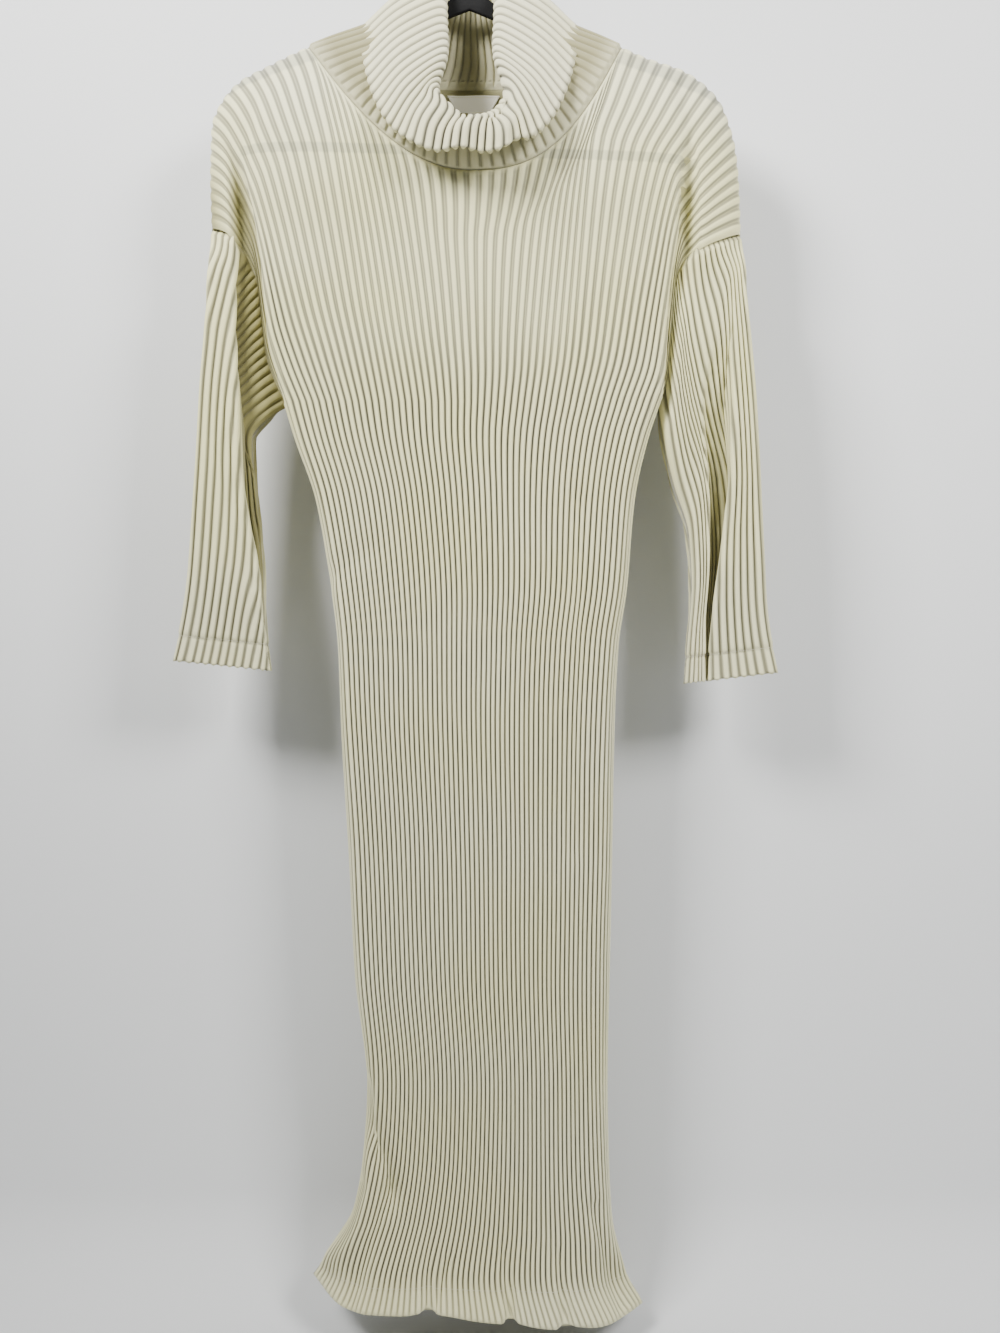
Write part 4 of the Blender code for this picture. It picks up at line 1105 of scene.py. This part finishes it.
def collar(name, material):
    """The collar: its base rises from the neck seam, turns over and hangs outside."""
    rows, fine = collar_rows()
    count = rib_columns(sum(COLLAR_QUARTERS), closed=True)
    ring, from_front = fine[:, None], count[None, :] - COLLAR_QUARTERS[0]
    grid = slumped(rows, ring, from_front)
    normals = surface_normals(grid, closed=True)
    if normals[4, len(RIB_PHASES) * COLLAR_QUARTERS[0], 1] > 0:
        normals = -normals
    pitch = ring_pitch(grid)
    deep = 1.35 - 0.3 * smooth(7, 10, pitch)
    rise, groove_shade = rib_form(count[None, :], np.clip(pitch, 4.5, 6.0), deep, -0.02)
    # Deeper painted groove shade where the front is bunched.
    groove_shade = groove_shade * (0.72 + 0.28 * bell(from_front, BUNCH["ribs"]))
    run = run_down(grid)
    edge, band = run[-1:] - run, smooth(1.4, 4.2, run)
    outer = grid + normals * (COLLAR_OUT + rise * band - 0.6 * bell(run, 1.5))[..., None]
    inner = grid - normals * (COLLAR_IN + rise * smooth(2, 6, run))[..., None]
    waves = 1.3 * scallops(count, edge, *COLLAR_SCALLOP)
    down = unit(np.gradient(grid, axis=0))
    for part in (outer, inner):
        part -= down * waves[..., None]
    inside = smooth(3.9, 3.2, ring)
    shade_out, shade_in = collar_shades(count, ring, from_front)
    frill = ALLOWANCE + 1.1 * np.cos(2 * math.pi * count)[None, :]
    turned = smooth(frill + 0.6, frill - 0.6, run)
    inner -= normals * (0.9 * turned * smooth(0.5, 2.5, run))[..., None]
    shade_in = shade_in * (1 - 0.9 * turned) + 0.8 * bell(run - frill - 0.8, 0.7) * inside
    # Painted shade in the grooves, calmed above the neck seam, and a painted dark line along the seam
    # itself.
    groove_shade_out = np.maximum(groove_shade * band * (0.7 + 0.3 * smooth(3.0, 4.2, ring)), 0.8 * bell(run, 1.1))
    groove_shade_in = groove_shade * (1 - 0.55 * inside) * (1 - 0.7 * turned)
    cloth = Cloth()
    out = cloth.side(outer, count[None, :], run, True, True, groove_shade=groove_shade_out, shade=shade_out)
    inn = cloth.side(inner, count[None, :], run, False, True, groove_shade=groove_shade_in, shade=shade_in)
    cloth.rims(out, inn, True)
    return cloth.build(name, material), area_of(rows, closed=True)


# ---- Shader maths ----


class Wire:
    """A socket of a material that takes part in Python sums."""

    def __init__(self, finish, socket):
        self.finish, self.socket = finish, socket

    def __add__(self, other):
        return self.finish.math("ADD", self, other)

    __radd__ = __add__

    def __mul__(self, other):
        return self.finish.math("MULTIPLY", self, other)

    __rmul__ = __mul__

    def __sub__(self, other):
        return self.finish.math("SUBTRACT", self, other)

    def __rsub__(self, other):
        return self.finish.math("SUBTRACT", other, self)


class Finish:
    """A material and the nodes that give it its colour and relief."""

    def __init__(self, name, roughness, **fixed):
        self.material = bpy.data.materials.new(name)
        self.material.use_nodes = True
        self.tree = self.material.node_tree
        self.shader = self.tree.nodes["Principled BSDF"]
        self.shader.inputs["Roughness"].default_value = roughness
        for socket, value in fixed.items():
            self.shader.inputs[socket.replace("_", " ")].default_value = value

    def node(self, kind, settings=None, sockets=None, output=0):
        """Any node: its settings first, then the values or links of its sockets."""
        node = self.tree.nodes.new(kind)
        for name, value in (settings or {}).items():
            setattr(node, name, value)
        for name, value in (sockets or {}).items():
            if isinstance(value, Wire):
                self.tree.links.new(value.socket, node.inputs[name])
            else:
                node.inputs[name].default_value = value
        return Wire(self, node.outputs[output])

    def math(self, operation, *values):
        """One Math node."""
        return self.node("ShaderNodeMath", {"operation": operation}, dict(enumerate(values)))

    def step(self, value, low, high, start=0.0, end=1.0):
        """A soft step of a value from start to end between two limits."""
        sockets = {"Value": value, "From Min": low, "From Max": high, "To Min": start, "To Max": end}
        return self.node("ShaderNodeMapRange", {"interpolation_type": "SMOOTHSTEP"}, sockets)

    def blend(self, share, first, second, kind="MIX"):
        """One colour over another by a share."""
        first, second = ((*c, 1) if isinstance(c, tuple) else c for c in (first, second))
        sockets = {0: share, 6: first, 7: second}
        return self.node("ShaderNodeMix", {"data_type": "RGBA", "blend_type": kind}, sockets, 2)

    def split(self, vector):
        """The three numbers of a vector."""
        first = self.node("ShaderNodeSeparateXYZ", None, {0: vector})
        return [Wire(self, output) for output in first.socket.node.outputs]

    def noise(self, place, scale, detail=2.0):
        """Even grain from 0 to 1."""
        sockets = {"Vector": place, "Scale": scale, "Detail": detail}
        return self.node("ShaderNodeTexNoise", None, sockets)

    def objects(self):
        """Object coordinates."""
        return self.node("ShaderNodeTexCoord", None, None, "Object")

    def value(self, name):
        """A value kept on the piece's points."""
        return self.node("ShaderNodeAttribute", {"attribute_name": name}, None, "Fac")

    def finish_with(self, colour, height, distance, strength, roughness=None):
        """Links the colour and the relief to the shader."""
        self.tree.links.new(colour.socket, self.shader.inputs["Base Color"])
        sockets = {"Height": height, "Distance": distance, "Strength": strength}
        bump = self.node("ShaderNodeBump", None, sockets)
        self.tree.links.new(bump.socket, self.shader.inputs["Normal"])
        if roughness is not None:
            self.tree.links.new(roughness.socket, self.shader.inputs["Roughness"])
        return self.material


# The knit's two ivories, of the body and of the collar, and the tones of its painted shade: in the grooves,
# between the stitches' loops and in the folds.
IVORY = ((0.88, 0.85, 0.56), (0.87, 0.83, 0.42))
COLLAR_IVORY = ((0.77, 0.74, 0.51), (0.75, 0.715, 0.43))
GROOVE_SHADE_TONE = (0.045, 0.043, 0.024)
GROOVE_SHADE_GREY = (0.06, 0.06, 0.05)
LOOP_SHADE_TONE = (0.50, 0.475, 0.35)
SHADE_TONE = (0.31, 0.295, 0.205)
# The grey of the painted shade where the hanger lies behind the cloth.
HANGER_SHADOW_GREY = (0.58, 0.60, 0.66)


def hanger_shadow_bands(knit, x, z):
    """Painted shade where the hanger's arms and bar lie behind the thin cloth, as grey bands."""
    run = knit.math("ABSOLUTE", x)
    arm = HANGER_TOP * MM - run * HANGER_SLOPE - x * math.sin(HANGER_TILT)
    below = (arm - z) + 0.006 * knit.step(run, 0.1, 0.2)
    over_arm = knit.step(below, 0.004, 0.008) * knit.step(below, 0.026, 0.021)
    bar = (BAR_TOP * MM - x * BAR_SLOPE) - z
    over_bar = knit.step(bar, -0.0055, -0.003) * knit.step(bar, 0.006, 0.0035)
    return knit.math("MAXIMUM", over_arm * 0.65, over_bar * knit.step(run, 0.212, 0.205) * 0.55)


def rib_knit(name, ivories, hanger_shadows=False):
    """Ivory rib knit: loops in rows, soft grain, painted shade in the grooves and between the loops, and
    painted yellow shade in the folds.
    """
    knit = Finish(name, 0.85, Sheen_Weight=0.25, Sheen_Roughness=0.5, Specular_IOR_Level=0.25)
    place = knit.node("ShaderNodeUVMap", {"uv_map": "courses"})
    across, down, _ = knit.split(place)
    wale = knit.math("FRACT", across)
    lean = knit.math("ABSOLUTE", wale - 0.5)
    leg = knit.math("SINE", knit.math("FRACT", wale * 2.0) * math.pi)
    loop = knit.math("SINE", knit.math("FRACT", down + lean * 1.4) * math.pi)
    stitch = leg * (loop * 0.6 + 0.4)
    where = knit.objects()
    fuzz = knit.noise(where, 900.0, 3.0)
    cloud = knit.noise(where, 7.0)
    x, _, z = knit.split(where)
    # Painted light: the ivory turns warmer in a band at mid height, standing in for the warmer look of the
    # cloth under the light there.
    warm_light_band = knit.step(z, -0.75, -0.45) * knit.step(z, -0.18, -0.3)
    base = knit.blend(knit.step(cloud, 0.35, 0.65) * 0.4 + warm_light_band * 0.6, *ivories)
    groove_shade = knit.value("groove_shade")
    shade = knit.value("shade")
    # Painted shade in the grooves: near black low down, greyer higher up where the ribs are stretched, and
    # lighter where the fold shade already darkens.
    groove_shade_tone = knit.blend(knit.step(z, -0.62, -0.40), GROOVE_SHADE_TONE, GROOVE_SHADE_GREY)
    groove_shaded = knit.blend(groove_shade * (0.92 - shade * 0.55), base, groove_shade_tone)
    # Painted shade in the hollows between the knit's loops.
    loop_shaded = knit.blend((1 - stitch) * 0.14, groove_shaded, LOOP_SHADE_TONE)
    shaded = knit.blend(shade, loop_shaded, SHADE_TONE, "MULTIPLY")
    # Painted shade: grey bands where the hanger lies behind the thin cloth.
    if hanger_shadows:
        shaded = knit.blend(hanger_shadow_bands(knit, x, z), shaded, HANGER_SHADOW_GREY, "MULTIPLY")
    relief = stitch * 0.75 + fuzz * 0.5
    return knit.finish_with(shaded, relief, 0.00035, 0.7)


def glowing_satin(name):
    """Bare woven satin: fine warp threads, a raised edge weave, a faint sheen and a painted glow."""
    # Painted glow: the label gives off a little light of its own, standing in for the light that reaches it
    # through the thin cloth around it.
    satin = Finish(name, 0.5, Sheen_Weight=0.2, Emission_Color=(0.95, 0.91, 0.70, 1), Emission_Strength=0.3)
    where = satin.objects()
    x, _, z = satin.split(where)
    warp = satin.math("SINE", x * (2 * math.pi / 0.0004))
    weft = satin.math("SINE", z * (2 * math.pi / 0.0006))
    grain = satin.noise(where, 260.0, 3.0)
    colour = satin.blend(grain, (0.93, 0.90, 0.78), (0.88, 0.85, 0.72))
    colour = satin.blend(satin.step(weft, 0.2, 1.0) * 0.12, colour, (0.60, 0.57, 0.45))
    return satin.finish_with(colour, warp * 0.5 + weft * 0.5 + grain, 0.00012, 0.6)


def black_flock(name):
    """Black flock: short fibres that catch a little grey light at the edges."""
    flock = Finish(name, 0.95, Sheen_Weight=0.05, Sheen_Roughness=0.6, Specular_IOR_Level=0.1)
    where = flock.objects()
    fibre = flock.noise(where, 2600.0)
    patch = flock.noise(where, 30.0)
    colour = flock.blend(fibre, (0.004, 0.004, 0.005), (0.014, 0.014, 0.014))
    colour = flock.blend(flock.step(patch, 0.55, 0.75) * 0.3, colour, (0.02, 0.019, 0.018))
    return flock.finish_with(colour, fibre, 0.0003, 0.8)


def hook_steel(name):
    """Bright drawn wire with fine scratches along it."""
    steel = Finish(name, 0.22, Metallic=1.0)
    where = steel.objects()
    scratch = steel.noise(where, 700.0, 4.0)
    dull = steel.noise(where, 60.0)
    colour = steel.blend(dull, (0.62, 0.62, 0.63), (0.50, 0.50, 0.51))
    rough = steel.step(scratch, 0.3, 0.8, 0.16, 0.34)
    return steel.finish_with(colour, scratch, 0.00003, 0.4, rough)


def sewing_thread(name):
    """Twisted ivory thread."""
    thread = Finish(name, 0.6, Sheen_Weight=0.3)
    where = thread.objects()
    twist = thread.math("SINE", thread.noise(where, 1500.0) * 40.0)
    colour = thread.blend(twist * 0.5 + 0.5, (0.80, 0.77, 0.65), (0.70, 0.66, 0.52))
    return thread.finish_with(colour, twist, 0.00008, 0.6)


def wall_paint(name):
    """The pale sweep behind and under the dress, clear from behind so that the back can be seen."""
    paint = Finish(name, 0.9)
    where = paint.objects()
    grain = paint.noise(where, 3.0)
    colour = paint.blend(grain, (0.735, 0.75, 0.76), (0.76, 0.77, 0.78))
    material = paint.finish_with(colour, paint.noise(where, 400.0), 0.0001, 0.3)
    solid, clear = Wire(paint, paint.shader.outputs["BSDF"]), paint.node("ShaderNodeBsdfTransparent")
    behind = paint.node("ShaderNodeNewGeometry", None, None, "Backfacing")
    mix = paint.node("ShaderNodeMixShader", None, {0: behind, 1: solid, 2: clear})
    paint.tree.links.new(mix.socket, paint.tree.nodes["Material Output"].inputs["Surface"])
    return material


# ---- Labels, hanger and hook ----


def label(name, size, material):
    """A bare label with chamfered lower corners, curved like the back neck it is sewn to."""
    drops, spans = np.linspace(0, 1, LABEL_ROWS), np.linspace(-1, 1, LABEL_COLUMNS)
    half = (size["top_width"] * (1 - drops) + size["foot_width"] * drops) / 2
    half = half - LABEL_CORNER * smooth(0.82, 1.0, drops)
    x = size["middle"] + half[:, None] * spans[None, :]
    z = size["top"] - drops[:, None] * size["height"] + 0.25 * np.sin(x / 6)
    back = body_depth(x, np.full_like(x, LABEL["top"]), BACK)
    y = np.minimum(back, back.min() + 0.4) - BACK_WALL - LABEL_CLEAR
    y = y + 0.25 * np.cos(x / 5) * drops[:, None]
    grid = np.stack([x, y, z], axis=-1)
    hem = np.minimum(drops[:, None] * size["height"], half[:, None] * (1 - np.abs(spans)[None, :]))
    front, rear = grid.copy(), grid.copy()
    front[..., 1] -= LABEL_HALF + 0.12 * smooth(2.0, 1.0, hem)
    rear[..., 1] += LABEL_HALF
    ribs, runs = np.linspace(0, 10, LABEL_COLUMNS)[None, :], (drops * size["height"])[:, None]
    cloth = Cloth()
    cloth.rims(cloth.side(front, ribs, runs, True), cloth.side(rear, ribs, runs, False), True, ends=True)
    return cloth.build(name, material), area_of(grid)


def label_line(size, y):
    """The points of a row of stitches across the top of a label."""
    half = size["top_width"] / 2
    x = np.linspace(size["middle"] - half, size["middle"] + half, 40)
    return np.column_stack([x, np.full_like(x, y), np.full_like(x, size["top"] - LABEL_SEAM)])


def hanger_frame(name, node, material):
    """The hanger's flat frame with its edges rounded under the flock."""
    mesh = node.data.copy()
    model = bmesh.new()
    model.from_mesh(mesh)
    bmesh.ops.remove_doubles(model, verts=model.verts, dist=0.00001)
    bmesh.ops.dissolve_limit(model, angle_limit=math.radians(1), verts=model.verts, edges=model.edges)
    model.to_mesh(mesh)
    model.free()
    mesh.materials.clear()
    mesh.materials.append(material)
    raw = add_object("hanger_raw", mesh)
    bevel = raw.modifiers.new("edge", "BEVEL")
    bevel.width, bevel.segments = EDGE_ROUND * MM, EDGE_STEPS
    bevel.limit_method, bevel.angle_limit = "ANGLE", EDGE_ANGLE
    return baked(raw, name)


def baked(raw, name):
    """A plain mesh object from an evaluated one, which is removed."""
    graph = bpy.context.evaluated_depsgraph_get()
    mesh = bpy.data.meshes.new_from_object(raw.evaluated_get(graph))
    bpy.data.objects.remove(raw)
    shade_smooth(mesh)
    return add_object(name, mesh)


def hook_wire(name, material):
    """The hook's wire: a straight foot, a bend and an open loop whose end is capped flat."""
    turn = np.radians(np.linspace(HOOK_START, HOOK_END, HOOK_STEPS))
    loop = HOOK_RADIUS * np.stack([np.cos(turn), np.sin(turn)], axis=1) - (0, HOOK_RADIUS - HOOK_WIRE)
    route = np.concatenate([np.array(HOOK_NECK), loop])
    data = bpy.data.curves.new(name, "CURVE")
    data.dimensions = "3D"
    data.bevel_depth = HOOK_WIRE * MM
    data.bevel_resolution = 6
    data.use_fill_caps = True
    spline = data.splines.new("POLY")
    spline.points.add(len(route) - 1)
    for point, (x, z) in zip(spline.points, route):
        point.co = (x * MM, 0, z * MM, 1)
    data.materials.append(material)
    return baked(add_object("hook_raw", data), name)


# ---- Stitches ----


STITCH_NODES = {
    "start": "NodeGroupInput",
    "line": "GeometryNodeMeshToCurve",
    "places": "GeometryNodeCurveToPoints",
    "thread": "GeometryNodeMeshUVSphere",
    "size": "ShaderNodeCombineXYZ",
    "put": "GeometryNodeInstanceOnPoints",
    "real": "GeometryNodeRealizeInstances",
    "paint": "GeometryNodeSetMaterial",
    "end": "NodeGroupOutput",
}
STITCH_LINKS = (
    ("start Geometry", "line Mesh"),
    ("line Curve", "places Curve"),
    ("start Step", "places Length"),
    ("places Points", "put Points"),
    ("places Rotation", "put Rotation"),
    ("thread Mesh", "put Instance"),
    ("start Thickness", "size X"),
    ("start Thickness", "size Y"),
    ("start Length", "size Z"),
    ("size Vector", "put Scale"),
    ("put Instances", "real Geometry"),
    ("real Geometry", "paint Geometry"),
    ("paint Geometry", "end Geometry"),
)


def stitch_tree(name, material):
    """Short threads laid along a line at even steps."""
    tree = bpy.data.node_groups.new(name, "GeometryNodeTree")
    for way in ("INPUT", "OUTPUT"):
        tree.interface.new_socket("Geometry", in_out=way, socket_type="NodeSocketGeometry")
    for size in ("Step", "Length", "Thickness"):
        tree.interface.new_socket(size, in_out="INPUT", socket_type="NodeSocketFloat")
    nodes = {key: tree.nodes.new(kind) for key, kind in STITCH_NODES.items()}
    nodes["places"].mode = "LENGTH"
    nodes["paint"].inputs["Material"].default_value = material
    for socket, value in {"Segments": 6, "Rings": 5, "Radius": 1.0}.items():
        nodes["thread"].inputs[socket].default_value = value
    for ends in STITCH_LINKS:
        (source, output), (target, socket) = (end.split() for end in ends)
        tree.links.new(nodes[source].outputs[output], nodes[target].inputs[socket])
    return tree


def stitches(name, tree, line, sizes):
    """Stitches along a line of points, as one plain mesh."""
    mesh = bpy.data.meshes.new(name + "_line")
    mesh.from_pydata((line * MM).tolist(), [(i, i + 1) for i in range(len(line) - 1)], [])
    raw = add_object(name + "_line", mesh)
    modifier = raw.modifiers.new("stitches", "NODES")
    modifier.node_group = tree
    named = dict(zip(("Step", "Length", "Thickness"), sizes))
    for item in tree.interface.items_tree:
        if item.name in named:
            modifier[item.identifier] = named[item.name] * MM
    return baked(raw, name)


# ---- Setting ----


LENS, SENSOR = 32.29, 36.0
EYE = (0.02806, -1.12, -0.7116)

# The sweep, in metres: the wall's and the floor's places, the bend between them and its reach.
WALL_Y, FLOOR_Z, BEND, REACH, TOP_Z = 0.085, -1.338, 0.10, 3.0, 1.2

LAMP_SIZE = 0.6
LAMPS = (
    # name, place, aim, power, spread, tint
    ("high_left", (-0.95, -1.05, 0.5), (0.05, 0, -0.05), 25.5, 110, (1, 0.99, 0.965)),
    ("right", (1.1, -1.2, 0.3), (0.2, 0, -0.38), 16.5, 115, (1, 0.99, 0.97)),
    ("low", (0.9, -1.6, -1.2), (0.5, 0, -1.3), 2, 180, (1, 1, 1)),
)
AIR, AIR_STRENGTH = (0.96, 0.98, 1, 1), 0.135


def camera():
    """The camera stands in front at the height of the waist."""
    data = bpy.data.cameras.new("view")
    data.lens, data.sensor_width = LENS, SENSOR
    eye = add_object("view", data)
    eye.location = EYE
    eye.rotation_euler = (math.pi / 2, 0, 0)
    bpy.context.scene.camera = eye


def sweep(material):
    """A pale wall that turns into the floor."""
    turn = np.linspace(0, math.pi / 2, 13)[1:]
    bend = zip(WALL_Y - BEND + BEND * np.cos(turn), FLOOR_Z + BEND - BEND * np.sin(turn))
    line = [(WALL_Y, TOP_Z), (WALL_Y, FLOOR_Z + BEND), *bend, (-REACH, FLOOR_Z)]
    points = [(side * REACH, y, z) for y, z in line for side in (-1, 1)]
    faces = [(2 * i, 2 * i + 2, 2 * i + 3, 2 * i + 1) for i in range(len(line) - 1)]
    mesh = bpy.data.meshes.new("sweep")
    mesh.from_pydata(points, [], faces)
    shade_smooth(mesh)
    mesh.materials.append(material)
    add_object("sweep", mesh)


def studio():
    """Soft square lights from above on both sides, a little light low down and an even fill."""
    for name, place, aim, power, spread, tint in LAMPS:
        data = bpy.data.lights.new(name, "AREA")
        data.size, data.energy, data.color = LAMP_SIZE, power, tint
        data.spread = math.radians(spread)
        light = add_object(name, data)
        light.location = place
        light.rotation_euler = (Vector(aim) - Vector(place)).to_track_quat("-Z", "Y").to_euler()
    world = bpy.data.worlds.new("air")
    world.use_nodes = True
    background = world.node_tree.nodes["Background"].inputs
    background["Color"].default_value, background["Strength"].default_value = AIR, AIR_STRENGTH
    bpy.context.scene.world = world


# ---- The dress ----


def main():
    """Every piece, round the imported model."""
    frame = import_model()
    camera()
    studio()
    sweep(wall_paint("wall_paint"))
    body_knit = rib_knit("body_knit", IVORY, True)
    sleeve_knit, collar_knit = rib_knit("sleeve_knit", IVORY), rib_knit("collar_knit", COLLAR_IVORY)
    satin, thread = glowing_satin("glowing_satin"), sewing_thread("sewing_thread")

    front, front_area, front_rows, front_line = body_panel("front_panel", FRONT, body_knit)
    back, back_area, back_rows, back_line = body_panel("back_panel", BACK, body_knit)
    panels = {FRONT: front_rows, BACK: back_rows}
    left, left_area, left_line = sleeve("sleeve_left_knit", LEFT, panels, sleeve_knit)
    right, right_area, right_line = sleeve("sleeve_right_knit", RIGHT, panels, sleeve_knit)
    neck, neck_area = collar("collar_knit_tube", collar_knit)
    tag, tag_area = label("neck_label", LABEL, satin)
    tab, tab_area = label("size_label", SIZE_TAB, satin)
    arms = hanger_frame("hanger_frame", frame["nodes"]["hanger"], black_flock("black_flock"))
    wire = hook_wire("hook_wire", hook_steel("hook_steel"))

    tree = stitch_tree("stitch_row", thread)
    tag_front = tag.data.vertices[0].co.y / MM - THREAD_LIFT
    sewn = stitches("label_stitches", tree, label_line(LABEL, tag_front), LABEL_STITCH)
    front_hem = stitches("front_hem_stitches", tree, front_line, SEAM_STITCH)
    back_hem = stitches("back_hem_stitches", tree, back_line, SEAM_STITCH)
    left_cuff = stitches("left_cuff_stitches", tree, left_line, SEAM_STITCH)
    right_cuff = stitches("right_cuff_stitches", tree, right_line, SEAM_STITCH)

    cloth = ((front, "front"), (back, "back"), (left, "sleeve_left"), (right, "sleeve_right"))
    rest = ((neck, "collar"), (tag, "label"), (tab, "size_tab"), (arms, "hanger"), (wire, "hook"))
    seams = (front_hem, back_hem, left_cuff, right_cuff)
    for piece, (_, slot) in zip(seams, cloth):
        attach(piece, "root")
    for piece, node in (*cloth, *rest):
        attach(piece, "root")
        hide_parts(node)
    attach(sewn, "root")


main()
